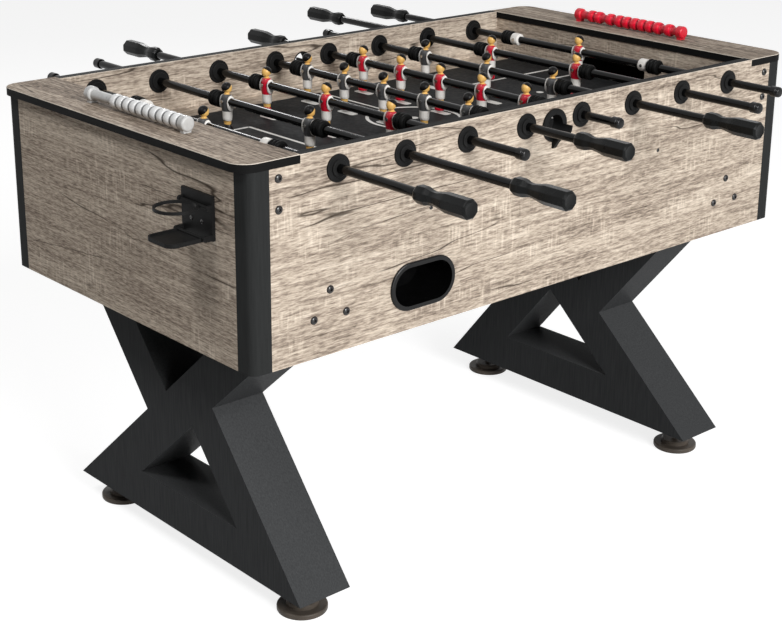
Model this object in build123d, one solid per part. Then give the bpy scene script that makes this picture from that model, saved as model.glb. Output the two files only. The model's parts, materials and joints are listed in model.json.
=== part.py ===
from build123d import *
import math
import os

# Foosball table on two timber leg frames, in millimetres.
# Each piece is drawn about the middle of the cabinet, X along the table, Y across it, Z up from the floor.
# Saved pieces are moved so that the origin lies under the middle of the whole table with its rods.
# The near side is -Y and the left end is -X.

# Cabinet
cabinet_length = 1390.0
cabinet_width = 760.0
cabinet_depth = 358.0
table_height = 881.0
panel_thickness = 20.0
post_width = 40.0
post_round = 16.0
end_top_thickness = 15.0
end_top_overhang = 15.0
end_top_corner_radius = 35.0
end_top_edge_round = 1.5
end_box_length = 103.0
goal_wall_thickness = 15.0
goal_wall_recess = 3.0

# Playfield and goals
well_depth = 102.0
field_thickness = 12.0
cleat_width = 20.0
cleat_height = 60.0
goal_width = 195.0
goal_height = 52.0

# Rods, each with its own travel set by where its bumpers meet the walls
rod_drop = 36.0
rod_count = 8
goal_rod_room = 80.5
rod_radius = 7.95
running_clearance = 0.08
seat_clearance = 0.1
face_clearance = 0.4
stop_clearance = 0.3

# Rod bushings, a flanged sleeve with a flanged nut on the inner side
sleeve_wall = 4.55
flange_width = 11.3
flange_thickness = 3.5
boss_width = 2.5
boss_height = 7.0
nut_grip = 5.0
nut_boss_width = 5.5
nut_height = 6.0
nut_flange_thickness = 3.0
bushing_round = 1.5

# Men, measured from the rod's axis
man_half_width = 15.0
man_hub_wall = 3.05
man_shoulder = 14.0
man_torso_half_width = 12.5
man_torso_half_depth = 11.5
man_foot_drop = 62.0
man_shoe_height = 16.0
man_shoe_half_width = 10.5
man_shoe_toe = 12.0
man_shoe_heel = 9.0
man_shin_height = 9.0
man_leg_half_width = 9.0
man_leg_half_depth = 6.0
man_shorts_height = 17.0
man_shorts_half_width = 11.0
man_shorts_half_depth = 9.0
man_neck_radius = 5.5
man_head_radius = 10.0
man_head_height = 26.0
man_head_forward = 0.5
man_screw_radius = 2.0
man_screw_head_radius = 3.6
man_screw_head_height = 2.0
man_screw_past_axis = 9.0

# Stop collars on the goalkeeper rods
collar_wall = 5.55
collar_length = 22.0
collar_round = 3.0
collar_flat_depth = 1.5
collar_flat_width = 12.0

# Rubber bumpers
bumper_wall = 3.55
bumper_rib_width = 9.0
bumper_rib_count = 3
bumper_end = 1.5

# Handles and end caps
handle_length = 120.0
handle_sides = 8
handle_mouth_wall = 3.05
handle_collar_wall = 6.55
handle_neck_wall = 3.05
handle_grip_wall = 7.65
handle_lead = 6.0
handle_collar_end = 22.0
handle_neck_place = 39.0
handle_grip_start = 68.0
handle_tip_chamfer = 4.0
handle_end_wall = 14.0
cap_length = 20.0
cap_wall = 2.55
cap_end_wall = 6.0
cap_round = 4.0
cap_room = 5.0

# Rod sets by kind: places of the men and collars, and how much rod shows beyond the travel at the handle
men_places = {
    "goalkeeper": [0.0],
    "two": [-126.0, 126.0],
    "three": [-188.0, 0.0, 188.0],
    "five": [-240.0, -120.0, 0.0, 120.0, 240.0],
}
collar_places = {"goalkeeper": [-189.0, 189.0], "two": [], "three": [], "five": []}
handle_room = {"goalkeeper": 58.0, "two": 70.0, "three": 66.0, "five": 59.0}

# Each rod: its kind, the side its handle is on (-1 near, 1 far), and where it stands along Y
rod_sets = [
    ("goalkeeper", -1, -4.0),
    ("two", -1, 2.0),
    ("three", 1, 8.0),
    ("five", -1, 10.0),
    ("five", 1, 2.0),
    ("three", -1, 18.0),
    ("two", 1, 25.0),
    ("goalkeeper", 1, 26.0),
]

# Ball entry cup in each side panel, at the middle of the table
serve_drop = 45.0
serve_bore_radius = 20.0
serve_wall = 3.0
serve_flange_width = 8.0
serve_flange_thickness = 4.0
serve_lip_length = 26.0
serve_rib_below = 20.0
serve_rib_thickness = 8.0
serve_rib_setback = 6.0

# Ball return insert, one on each side
return_offset = 322.0
return_rise = 80.0
return_width = 152.0
return_tall = 88.0
return_rim_width = 5.5
return_rim_proud = 4.0
return_wall = 3.0
return_depth = 90.0
return_window_width = 72.0
return_window_height = 38.0

# Ball runway under the playfield, from the goal to the ball return
runway_board = 5.0
ramp_side_room = 7.5
ramp_high_drop = 49.0
ramp_low_drop = 92.0
cross_side_room = 4.0
cross_high_drop = 106.0
cross_low_drop = 5.0

# Folding cup holder on each end panel
cup_edge_room = 136.0
cup_rise = 211.0
cup_plate_height = 76.0
cup_plate_thickness = 6.0
cup_ear_thickness = 5.0
cup_ear_gap = 1.0
cup_ear_round = 5.0
cup_pin_radius = 3.0
cup_ring_rise = 56.0
cup_ring_outer = 37.0
cup_ring_band = 3.5
cup_ring_tall = 5.0
cup_ring_axis_gap = 4.0
cup_tray_rise = 6.0
cup_tray_axis_gap = 13.0
cup_tray_depth = 66.0
cup_tray_width = 74.0
cup_tray_thickness = 4.0
cup_tray_rim = 3.0
cup_tray_below_axis = 1.0
cup_tray_corner = 16.0
cup_screw_rise = 28.0
cup_screw_spread = 30.0

# Score counters on the end tops
score_free_run = 66.0
score_bead_radius = 13.5
score_bead_width = 21.0
score_bead_count = 10
score_bead_round = 4.0
score_rod_radius = 9.0
score_rod_clearance = 0.4
score_lift = 2.5
score_post_width = 18.0
score_foot_half_width = 8.0
left_bead_gaps = [0.0] * 9
right_bead_gaps = [10.0, 2.0, 1.0, 0.0, 2.0, 1.0, 6.0, 13.0, 0.0]
left_bead_stand = 1.0
right_bead_stand = 12.0

# Leg frames, drawn in the YZ plane for the left one and turned half round for the right one
leg_end_inset = 163.0
leg_depth = 115.0
leg_side_inset = 17.0
leg_bottom = 50.0
beam_width = 88.0
short_angle = 50.0
long_arm_rise = 45.0
short_arm_rise = 57.5
base_beam_height = 83.0

# Levelling feet
foot_inset = 67.0
foot_radius = 47.0
foot_disc_height = 11.0
foot_step_radius = 30.0
foot_step_height = 8.0
foot_round = 3.0
foot_stem_radius = 6.0
foot_stem_hold = 34.0

# Fasteners
bolt_head_radius = 7.5
bolt_head_height = 4.0
bolt_radius = 4.0
bolt_end = 6.0
corner_bolt_inset = 18.0
corner_bolt_drops = [84.0, 32.0]
bracket_thickness = 3.0
bracket_height = 96.0
bracket_length = 44.0
leg_bolt_spread = 35.0
leg_bolt_low_rise = 24.0
leg_bolt_high_rise = 71.0
leg_bolt_hold = 32.0
cleat_screw_place = 305.0
screw_radius = 2.2
screw_head_radius = 4.0
screw_head_height = 1.5
screw_hold = 14.0

# How far a cutting shape or a joined shape runs past the face it starts from
overrun = 1.0

# Places that follow from the sizes above
half_length = cabinet_length / 2
half_width = cabinet_width / 2
inner_width = half_width - panel_thickness
end_inner = half_length - panel_thickness
panel_end = half_length - post_width
cabinet_bottom = table_height - cabinet_depth
top_underside = table_height - end_top_thickness
well_end = half_length - end_box_length
goal_face = well_end + goal_wall_recess
goal_back = goal_face + goal_wall_thickness
top_outer = half_length + end_top_overhang
field_height = table_height - well_depth
field_bottom = field_height - field_thickness
cleat_bottom = field_bottom - cleat_height
cleat_middle = field_bottom - cleat_height / 2

# The two-man rods' handles reach furthest to each side, and the whole table's middle is halfway between
two_man_stands = [stand for kind, handle_side, stand in rod_sets if kind == "two"]
box_middle = sum(two_man_stands) / len(two_man_stands)

rod_height = table_height - rod_drop
rod_pitch = 2 * (goal_face - goal_rod_room) / (rod_count - 1)
rod_places = [(index - (rod_count - 1) / 2) * rod_pitch for index in range(rod_count)]
seat_radius = rod_radius + seat_clearance
running_radius = rod_radius + running_clearance
sleeve_radius = running_radius + sleeve_wall
flange_radius = sleeve_radius + flange_width
boss_radius = sleeve_radius + boss_width
nut_boss_radius = sleeve_radius + nut_boss_width
nut_face = inner_width - nut_height
man_hub_radius = rod_radius + man_hub_wall
collar_radius = rod_radius + collar_wall
bumper_core_radius = rod_radius + bumper_wall
bumper_length = bumper_rib_width * bumper_rib_count + 2 * bumper_end
cap_radius = rod_radius + cap_wall

serve_height = table_height - serve_drop
serve_outer_radius = serve_bore_radius + serve_wall
return_height = cabinet_bottom + return_rise
ramp_half = goal_width / 2 + ramp_side_room + runway_board
ramp_high = field_bottom - ramp_high_drop
ramp_low = field_bottom - ramp_low_drop
cross_width = return_window_width + 2 * (cross_side_room + runway_board)
cross_high = field_bottom - cross_high_drop
cross_low = return_height - cross_low_drop

cup_offset = half_width - cup_edge_room
cup_plate_bottom = cabinet_bottom + cup_rise
cup_plate_face = -half_length - cup_plate_thickness
cup_inner_width = max(cup_tray_width, 2 * cup_ring_outer) + 2 * cup_ear_gap
cup_plate_width = cup_inner_width + 2 * cup_ear_thickness
cup_ring_axis = (cup_plate_face - cup_ring_axis_gap, cup_plate_bottom + cup_ring_rise)
cup_tray_axis = (cup_plate_face - cup_tray_axis_gap, cup_plate_bottom + cup_tray_rise)
cup_screw_height = cup_plate_bottom + cup_screw_rise

score_run = score_bead_count * score_bead_width + score_free_run
score_half_span = (score_run + score_post_width) / 2

leg_centre = half_length - leg_end_inset
leg_half_span = half_width - leg_side_inset
foot_y = leg_half_span - foot_inset

# The long diagonal's slope, from its far foot to where its lower edge meets the near side panel
leg_run = leg_half_span + inner_width
leg_rise = cabinet_bottom + long_arm_rise - leg_bottom
long_angle = math.atan2(leg_rise, leg_run) + math.asin(beam_width / math.hypot(leg_rise, leg_run))
long_slope = math.tan(long_angle)
short_slope = math.tan(math.radians(short_angle))
short_run = beam_width / math.sin(math.radians(short_angle))
leg_left = (-leg_centre - leg_depth / 2, -leg_centre + leg_depth / 2)
leg_bolt_low = cabinet_bottom + long_arm_rise + leg_bolt_low_rise
leg_bolt_high = cabinet_bottom + long_arm_rise + leg_bolt_high_rise
corner_bolt_x = panel_end - corner_bolt_inset
corner_bolt_heights = [table_height - drop for drop in corner_bolt_drops]


def block(x_range, y_range, z_range):
    """Rectangular solid between pairs of limits."""
    size = [limits[1] - limits[0] for limits in (x_range, y_range, z_range)]
    middle = [(limits[1] + limits[0]) / 2 for limits in (x_range, y_range, z_range)]
    return Pos(*middle) * Box(*size)


def rod_along_y(x, z, radius, y_range):
    """Round bar or hole along Y."""
    length = y_range[1] - y_range[0]
    return Pos(x, (y_range[0] + y_range[1]) / 2, z) * Rot(90, 0, 0) * Cylinder(radius, length)


def rod_along_x(y, z, radius, x_range):
    """Round bar or hole along X."""
    length = x_range[1] - x_range[0]
    return Pos((x_range[0] + x_range[1]) / 2, y, z) * Rot(0, 90, 0) * Cylinder(radius, length)


def slab_yz(points, x_range):
    """Solid with an outline in the YZ plane, between two X limits."""
    outline = make_face(Plane.YZ * Polyline(*points, close=True))
    return Pos(x_range[0], 0, 0) * extrude(outline, amount=x_range[1] - x_range[0], dir=(1, 0, 0))


def slab_xz(points, y_range):
    """Solid with an outline in the XZ plane, between two Y limits."""
    outline = make_face(Plane.XZ * Polyline(*points, close=True))
    return Pos(0, y_range[0], 0) * extrude(outline, amount=y_range[1] - y_range[0], dir=(0, 1, 0))


def turned(shape):
    """The same piece half a turn round the table's middle."""
    return Rot(0, 0, 180) * shape


def both_ends(shape):
    """A piece and its copy at the other end of the table."""
    return [shape, turned(shape)]


def save(name, shapes):
    """Write one node from its separate solids, moved to the origin under the middle of the whole table."""
    to_origin = Pos(0, -box_middle, 0)
    solids = [to_origin * solid for shape in shapes for solid in shape.solids()]
    export_step(Compound(children=solids), f"parts/{name}.step")


# Fasteners


def dome_bolt(x, y, z, shank):
    """Dome-headed bolt along +Y, its head's flat face on the plane at y."""
    head = Pos(x, y, z) * Rot(90, 0, 0) * Pos(0, 0, bolt_head_height / 2) * Cylinder(
        bolt_head_radius, bolt_head_height
    )
    head = fillet(head.faces().sort_by(Axis.Y)[0].edges(), bolt_head_height * 0.7)
    return head + rod_along_y(x, z, bolt_radius, (y - overrun, y + shank))


def corner_bolt_places():
    """Bolts beside the two posts of the near side."""
    return [(side * corner_bolt_x, height) for side in (-1, 1) for height in corner_bolt_heights]


def leg_bolt_places():
    """Three bolts in a triangle where each leg frame meets the near side."""
    places = []
    for side in (-1, 1):
        places.append((side * leg_centre, leg_bolt_high))
        places.append((side * leg_centre - leg_bolt_spread, leg_bolt_low))
        places.append((side * leg_centre + leg_bolt_spread, leg_bolt_low))
    return places


def cleat_screw_places():
    """Screws that hold the near cleat."""
    return [(side * cleat_screw_place, cleat_middle) for side in (-1, 1)]


def cleat_screw(x, z):
    """Small pan-head screw through the near side panel."""
    outer = -half_width - screw_head_height
    head = rod_along_y(x, z, screw_head_radius, (outer, -half_width))
    return head + rod_along_y(x, z, screw_radius, (outer, -inner_width + screw_hold))


def cup_screw_places():
    """Screws that hold the left cup holder."""
    return [(-cup_offset + side * cup_screw_spread / 2, cup_screw_height) for side in (-1, 1)]


def cup_screw(y, z):
    """Small pan-head screw through the left cup holder's plate."""
    outer = cup_plate_face - screw_head_height
    head = rod_along_x(y, z, screw_head_radius, (outer, cup_plate_face))
    return head + rod_along_x(y, z, screw_radius, (outer, -half_length + screw_hold))


def fasteners():
    """Every bolt and screw of the near side and the left cup holder, with turned copies."""
    corner_shank = panel_thickness + bracket_thickness + bolt_end
    leg_shank = panel_thickness + leg_bolt_hold
    pieces = [dome_bolt(x, -half_width, z, corner_shank) for x, z in corner_bolt_places()]
    pieces += [dome_bolt(x, -half_width, z, leg_shank) for x, z in leg_bolt_places()]
    pieces += [cleat_screw(x, z) for x, z in cleat_screw_places()]
    pieces += [cup_screw(y, z) for y, z in cup_screw_places()]
    return [copy for piece in pieces for copy in both_ends(piece)]


# Cabinet


def return_outline(margin):
    """Pill outline of the ball return, drawn facing -Y and shrunk by a margin."""
    shape = SlotOverall(return_width - 2 * margin, return_tall - 2 * margin)
    return Plane.XZ * Pos(-return_offset, return_height) * shape


def pill(margin, y_range):
    """Pill-shaped solid of the near ball return between two Y limits."""
    depth = y_range[1] - y_range[0]
    return Pos(0, y_range[0], 0) * extrude(return_outline(margin), amount=depth, dir=(0, 1, 0))


def side_panel():
    """Near side panel with its notches for the end tops and all its holes."""
    through = (-half_width - overrun, -inner_width + overrun)
    panel = block((-panel_end, panel_end), (-half_width, -inner_width), (cabinet_bottom, table_height))
    for side in (-1, 1):
        notch = sorted((side * well_end, side * (panel_end + overrun)))
        panel -= block(notch, through, (top_underside, table_height + overrun))
    for x in rod_places:
        panel -= rod_along_y(x, rod_height, sleeve_radius + seat_clearance, through)
    panel -= rod_along_y(0, serve_height, serve_outer_radius + seat_clearance, through)
    panel -= pill(return_rim_width - seat_clearance, through)
    for x, z in corner_bolt_places() + leg_bolt_places():
        panel -= rod_along_y(x, z, bolt_radius + seat_clearance, through)
    for x, z in cleat_screw_places():
        panel -= rod_along_y(x, z, screw_radius + seat_clearance, through)
    return panel


def end_panel():
    """Left end panel between the corner posts."""
    span = half_width - post_width
    panel = block((-half_length, -end_inner), (-span, span), (cabinet_bottom, top_underside))
    depth = (-half_length - overrun, -half_length + screw_hold + overrun)
    for y, z in cup_screw_places():
        panel -= rod_along_x(y, z, screw_radius + seat_clearance, depth)
    return panel


def goal_wall():
    """Left inner wall of the well, with the goal in it."""
    wall = block((-goal_back, -goal_face), (-inner_width, inner_width), (field_bottom, top_underside))
    goal = block(
        (-goal_back - overrun, -goal_face + overrun),
        (-goal_width / 2, goal_width / 2),
        (field_height, field_height + goal_height),
    )
    return wall - goal


def end_top():
    """Left end board, level with the side panels and rounded at its outer corners."""
    board = block((-top_outer, -well_end), (-half_width, half_width), (top_underside, table_height))
    corners = board.edges().filter_by(Axis.Z).group_by(Axis.X)[0]
    board = fillet(corners, end_top_corner_radius)
    rim = board.faces().sort_by(Axis.Z)[-1].edges()
    return fillet(rim, end_top_edge_round)


def corner_post():
    """Near-left corner post with its outer edge rounded."""
    across = (-half_width, -half_width + post_width)
    post = block((-half_length, -panel_end), across, (cabinet_bottom, top_underside))
    outer = post.edges().filter_by(Axis.Z).group_by(Axis.X)[0].sort_by(Axis.Y)[0]
    return fillet([outer], post_round)


def corner_bracket():
    """Angle that ties the near side panel to the near-left post."""
    height = (top_underside - bracket_height, top_underside - face_clearance)
    on_panel = block(
        (-panel_end, -panel_end + bracket_length), (-inner_width, -inner_width + bracket_thickness), height
    )
    on_post = block(
        (-panel_end, -panel_end + bracket_thickness), (-inner_width, -half_width + post_width), height
    )
    bracket = on_panel + on_post
    through = (-inner_width - overrun, -inner_width + bracket_thickness + overrun)
    for bolt_height in corner_bolt_heights:
        bracket -= rod_along_y(-corner_bolt_x, bolt_height, bolt_radius + seat_clearance, through)
    return bracket


def cleat():
    """Near batten that carries the playfield and the goal walls."""
    batten = block(
        (-goal_back, goal_back), (-inner_width, -inner_width + cleat_width), (cleat_bottom, field_bottom)
    )
    depth = (-inner_width - overrun, -inner_width + screw_hold + overrun)
    for x, z in cleat_screw_places():
        batten -= rod_along_y(x, z, screw_radius + seat_clearance, depth)
    return batten


def mirrored_side(shape):
    """The same piece on the far side, mirrored across the table's long middle line."""
    return mirror(shape, about=Plane.XZ)


def playfield():
    """Flat playing surface between the side panels and the goal walls."""
    return block((-goal_face, goal_face), (-inner_width, inner_width), (field_bottom, field_height))


# Balls in and out


def serve_cup():
    """Ball entry in the near side panel: flange, sleeve, projecting lip and the rib below it."""
    face = -half_width
    lip_front = face - serve_lip_length
    flange_radius_here = serve_outer_radius + serve_flange_width
    flange_front = face - serve_flange_thickness
    flange = rod_along_y(0, serve_height, flange_radius_here, (flange_front, face))
    sleeve = rod_along_y(0, serve_height, serve_outer_radius, (lip_front, -inner_width))
    above_lip = block(
        (-serve_outer_radius - overrun, serve_outer_radius + overrun),
        (lip_front - overrun, flange_front),
        (serve_height, serve_height + serve_outer_radius + overrun),
    )
    rib_top = serve_height - serve_bore_radius
    rib_low = serve_height - serve_outer_radius - serve_rib_below
    rib = slab_yz(
        [
            (face, rib_top),
            (lip_front + serve_rib_setback, rib_top),
            (flange_front, rib_low),
            (face, rib_low),
        ],
        (-serve_rib_thickness / 2, serve_rib_thickness / 2),
    )
    bore = rod_along_y(0, serve_height, serve_bore_radius, (lip_front - overrun, -inner_width + overrun))
    return flange + (sleeve - above_lip) + rib - bore


def return_tray():
    """Ball return insert in the near side panel: rim, cup and the window where the runway enters."""
    face = -half_width
    back = face + return_depth
    inner_margin = return_rim_width + return_wall
    rim = pill(0, (face - return_rim_proud, face))
    rim = fillet(rim.faces().sort_by(Axis.Y)[0].edges(), return_rim_proud * 0.6)
    cup = pill(return_rim_width, (face - return_rim_proud / 2, back))
    hollow = pill(inner_margin, (face - return_rim_proud - overrun, back - return_wall))
    window = block(
        (-return_offset - return_window_width / 2, -return_offset + return_window_width / 2),
        (back - return_wall - overrun, back + overrun),
        (cross_low, cross_low + return_window_height),
    )
    return rim + cup - hollow - window


def runway():
    """Wide ramp behind and under the left goal, and the cross channel down to the near ball return."""
    cross_left = -return_offset - cross_width / 2
    cross_right = -return_offset + cross_width / 2
    cross_end = -half_width + return_depth
    ramp_slope = [(-end_inner, ramp_high), (cross_left, ramp_low)]
    ramp_under = [(x, z - runway_board) for x, z in ramp_slope]
    ramp = slab_xz(ramp_slope + ramp_under[::-1], (-ramp_half, ramp_half))
    wall_outline = ramp_under + [(cross_left, field_bottom), (-end_inner, field_bottom)]
    for limits in ((-ramp_half, -ramp_half + runway_board), (ramp_half - runway_board, ramp_half)):
        ramp += slab_xz(wall_outline, limits)
    cross_slope = [(ramp_half, cross_high), (cross_end, cross_low)]
    cross_under = [(y, z - runway_board) for y, z in cross_slope]
    channel = slab_yz(cross_slope + cross_under[::-1], (cross_left, cross_right))
    channel_wall = cross_under + [(cross_end, field_bottom), (ramp_half, field_bottom)]
    channel += slab_yz(channel_wall, (cross_right - runway_board, cross_right))
    channel += slab_yz(channel_wall, (cross_left, cross_left + runway_board))
    channel += block(
        (cross_left, cross_right),
        (ramp_half - runway_board, ramp_half),
        (cross_high - runway_board, field_bottom),
    )
    mouth = block(
        (cross_left - overrun, cross_left + runway_board + overrun),
        (-ramp_half + runway_board, ramp_half - runway_board),
        (ramp_low, field_bottom + overrun),
    )
    return ramp + channel - mouth


# Cup holders


def cup_ear(y, axis):
    """One hinge ear on the left cup holder's plate, with its pin hole."""
    axis_x, axis_z = axis
    limits = (y - cup_ear_thickness / 2, y + cup_ear_thickness / 2)
    ear = block((axis_x, cup_plate_face + overrun), limits, (axis_z - cup_ear_round, axis_z + cup_ear_round))
    ear += rod_along_y(axis_x, axis_z, cup_ear_round, limits)
    through = (limits[0] - overrun, limits[1] + overrun)
    return ear - rod_along_y(axis_x, axis_z, cup_pin_radius + running_clearance, through)


def cup_plate():
    """Back plate of the left cup holder with the ears of its ring and its tray."""
    plate = block(
        (cup_plate_face, -half_length),
        (-cup_offset - cup_plate_width / 2, -cup_offset + cup_plate_width / 2),
        (cup_plate_bottom, cup_plate_bottom + cup_plate_height),
    )
    for side in (-1, 1):
        y = -cup_offset + side * (cup_plate_width - cup_ear_thickness) / 2
        plate += cup_ear(y, cup_ring_axis) + cup_ear(y, cup_tray_axis)
    through = (cup_plate_face - overrun, -half_length + overrun)
    for y, z in cup_screw_places():
        plate -= rod_along_x(y, z, screw_radius + seat_clearance, through)
    return plate


def hinge_bar(axis):
    """Round hinge bar of a folding piece, ending inside both ears."""
    reach = cup_plate_width / 2 - face_clearance
    return rod_along_y(axis[0], axis[1], cup_pin_radius, (-cup_offset - reach, -cup_offset + reach))


def cup_ring():
    """Folding ring of the left cup holder."""
    centre = Pos(cup_ring_axis[0] - cup_ring_outer, -cup_offset, cup_ring_axis[1])
    band = centre * Cylinder(cup_ring_outer, cup_ring_tall)
    hole = centre * Cylinder(cup_ring_outer - cup_ring_band, cup_ring_tall + 2 * overrun)
    return band + hinge_bar(cup_ring_axis) - hole


def cup_tray():
    """Folding tray of the left cup holder, with a low rim and rounded front corners."""
    axis_x, axis_z = cup_tray_axis
    half = cup_tray_width / 2
    floor = axis_z - cup_tray_below_axis
    plan = block(
        (axis_x - cup_tray_depth, axis_x),
        (-cup_offset - half, -cup_offset + half),
        (floor - cup_tray_thickness, floor + cup_tray_rim),
    )
    front = plan.edges().filter_by(Axis.Z).group_by(Axis.X)[0]
    plan = fillet(front, cup_tray_corner)
    inside = block(
        (axis_x - cup_tray_depth + cup_tray_rim, axis_x + overrun),
        (-cup_offset - half + cup_tray_rim, -cup_offset + half - cup_tray_rim),
        (floor, floor + cup_tray_rim + overrun),
    )
    inner_front = inside.edges().filter_by(Axis.Z).group_by(Axis.X)[0]
    inside = fillet(inner_front, cup_tray_corner - cup_tray_rim)
    return plan - inside + hinge_bar(cup_tray_axis)


# Score counters


def score_axis(end):
    """X and Z of a counter's rod; end is -1 for the left one and 1 for the right one."""
    middle = (well_end + top_outer) / 2
    return end * middle, table_height + score_lift + score_bead_radius


def score_rail(end):
    """Rod of one counter and its two end posts standing on the end top."""
    x, z = score_axis(end)
    rail = rod_along_y(x, z, score_rod_radius, (-score_half_span, score_half_span))
    for side in (-1, 1):
        middle = side * score_half_span
        limits = (middle - score_post_width / 2, middle + score_post_width / 2)
        knob = rod_along_y(x, z, score_bead_radius, limits)
        knob = fillet(knob.edges().filter_by(GeomType.CIRCLE), score_bead_round)
        foot = block(
            (x - score_foot_half_width, x + score_foot_half_width),
            (limits[0] + score_bead_round, limits[1] - score_bead_round),
            (table_height, z),
        )
        rail += knob + foot
    return rail


def score_beads(end, gaps, stand):
    """Beads of one counter, counted from the near post with the gaps between them."""
    x, z = score_axis(end)
    beads = []
    y = -score_half_span + score_post_width / 2 + stand
    for index in range(score_bead_count):
        bead = rod_along_y(x, z, score_bead_radius, (y, y + score_bead_width))
        bead = fillet(bead.edges(), score_bead_round)
        bore = score_rod_radius + score_rod_clearance
        beads.append(bead - rod_along_y(x, z, bore, (y - overrun, y + score_bead_width + overrun)))
        if index < len(gaps):
            y += score_bead_width + gaps[index]
    return beads


# Leg frames


def long_edge(y, offset):
    """Height of a long diagonal's edge at y; offset 0 is the upper edge and 1 the lower one."""
    rise = (leg_half_span - y) * long_slope
    return leg_bottom + rise - offset * beam_width / math.cos(long_angle)


def meet_long_edge(y_start, z_start, offset):
    """Point where a short beam's edge through a given point meets an edge of the long diagonal."""
    y = (long_edge(0, offset) - z_start + short_slope * y_start) / (short_slope + long_slope)
    return y, long_edge(y, offset)


def bolt_seats(side):
    """The three bolt holes in the end of an arm of the left leg frame, at the near or far side panel."""
    outer = side * (inner_width + overrun)
    inner = side * (inner_width - leg_bolt_hold - overrun)
    places = [(x, z) for x, z in leg_bolt_places() if x < 0]
    limits = sorted((outer, inner))
    return [rod_along_y(x, z, bolt_radius + seat_clearance, limits) for x, z in places]


def stem_hole(y):
    """Hole for a levelling foot's stem in the underside of the left leg frame."""
    low = leg_bottom - overrun
    high = leg_bottom + foot_stem_hold + overrun
    return Pos(-leg_centre, y, (low + high) / 2) * Cylinder(foot_stem_radius + seat_clearance, high - low)


def below_cleats(beam):
    """A leg arm, cut off level below the battens of the playfield."""
    room = block(leg_left, (-half_width, half_width), (0, cleat_bottom - face_clearance))
    return beam & room


def long_diagonal():
    """Continuous beam of the left leg frame, from its far foot to the near side panel."""
    foot_inner = leg_half_span - beam_width / math.sin(long_angle)
    beam = slab_yz(
        [
            (leg_half_span, leg_bottom),
            (-inner_width, long_edge(-inner_width, 0)),
            (-inner_width, long_edge(-inner_width, 1)),
            (foot_inner, leg_bottom),
        ],
        leg_left,
    )
    beam = below_cleats(beam)
    for hole in bolt_seats(-1):
        beam -= hole
    return beam - stem_hole(foot_y)


def upper_half():
    """Short beam of the left leg frame from the long diagonal up to the far side panel."""
    outer_end = cabinet_bottom + short_arm_rise
    inner_end = outer_end + short_run * short_slope
    beam = slab_yz(
        [
            meet_long_edge(inner_width, outer_end, 0),
            (inner_width, outer_end),
            (inner_width, inner_end),
            meet_long_edge(inner_width, inner_end, 0),
        ],
        leg_left,
    )
    beam = below_cleats(beam)
    for hole in bolt_seats(1):
        beam -= hole
    return beam


def lower_half():
    """Short beam of the left leg frame from its near foot up to the long diagonal."""
    inner_foot = -leg_half_span + short_run
    beam = slab_yz(
        [
            (-leg_half_span, leg_bottom),
            meet_long_edge(-leg_half_span, leg_bottom, 1),
            meet_long_edge(inner_foot, leg_bottom, 1),
            (inner_foot, leg_bottom),
        ],
        leg_left,
    )
    return beam - stem_hole(-foot_y)


def base_beam():
    """Beam that closes the foot of the left leg frame."""
    far_low = leg_half_span - beam_width / math.sin(long_angle)
    far_high = far_low - base_beam_height / long_slope
    near_low = -leg_half_span + short_run
    near_high = near_low + base_beam_height / short_slope
    top = leg_bottom + base_beam_height
    outline = [(far_low, leg_bottom), (far_high, top), (near_high, top), (near_low, leg_bottom)]
    return slab_yz(outline, leg_left)


def levelling_foot(x, y):
    """Disc foot with a stepped boss and a stem up into the leg frame."""
    disc = Pos(x, y, foot_disc_height / 2) * Cylinder(foot_radius, foot_disc_height)
    disc = fillet(disc.edges().filter_by(GeomType.CIRCLE), foot_round)
    step_top = foot_disc_height + foot_step_height
    step = Pos(x, y, step_top / 2) * Cylinder(foot_step_radius, step_top)
    step = chamfer(step.edges().filter_by(GeomType.CIRCLE).sort_by(Axis.Z)[-1], foot_round)
    stem_top = leg_bottom + foot_stem_hold
    stem_length = stem_top - foot_disc_height
    stem = Pos(x, y, stem_top - stem_length / 2) * Cylinder(foot_stem_radius, stem_length)
    return disc + step + stem


# Rod bushings


def bushing(x):
    """Near bushing: outer flange with a raised boss and a sleeve through the side panel."""
    face = -half_width
    flange = rod_along_y(x, rod_height, flange_radius, (face - flange_thickness, face))
    flange = fillet(flange.faces().sort_by(Axis.Y)[0].edges(), bushing_round)
    boss = rod_along_y(x, rod_height, boss_radius, (face - boss_height, face))
    boss = fillet(boss.faces().sort_by(Axis.Y)[0].edges(), bushing_round)
    sleeve_end = -inner_width + nut_grip
    sleeve = rod_along_y(x, rod_height, sleeve_radius, (face - overrun, sleeve_end))
    through = (face - boss_height - overrun, sleeve_end + overrun)
    bore = rod_along_y(x, rod_height, running_radius, through)
    return flange + boss + sleeve - bore


def bushing_nut(x):
    """Near bushing's flanged nut against the inner face of the side panel."""
    face = -inner_width
    flange = rod_along_y(x, rod_height, flange_radius, (face, face + nut_flange_thickness))
    flange = fillet(flange.faces().sort_by(Axis.Y)[-1].edges(), bushing_round)
    boss = rod_along_y(x, rod_height, nut_boss_radius, (face, face + nut_height))
    boss = fillet(boss.faces().sort_by(Axis.Y)[-1].edges(), bushing_round)
    grip_depth = (face - overrun, face + nut_grip + seat_clearance)
    grip = rod_along_y(x, rod_height, sleeve_radius + seat_clearance, grip_depth)
    bore = rod_along_y(x, rod_height, running_radius, (face - overrun, face + nut_height + overrun))
    return flange + boss - grip - bore


# Men, handles and bumpers on the rods


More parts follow.
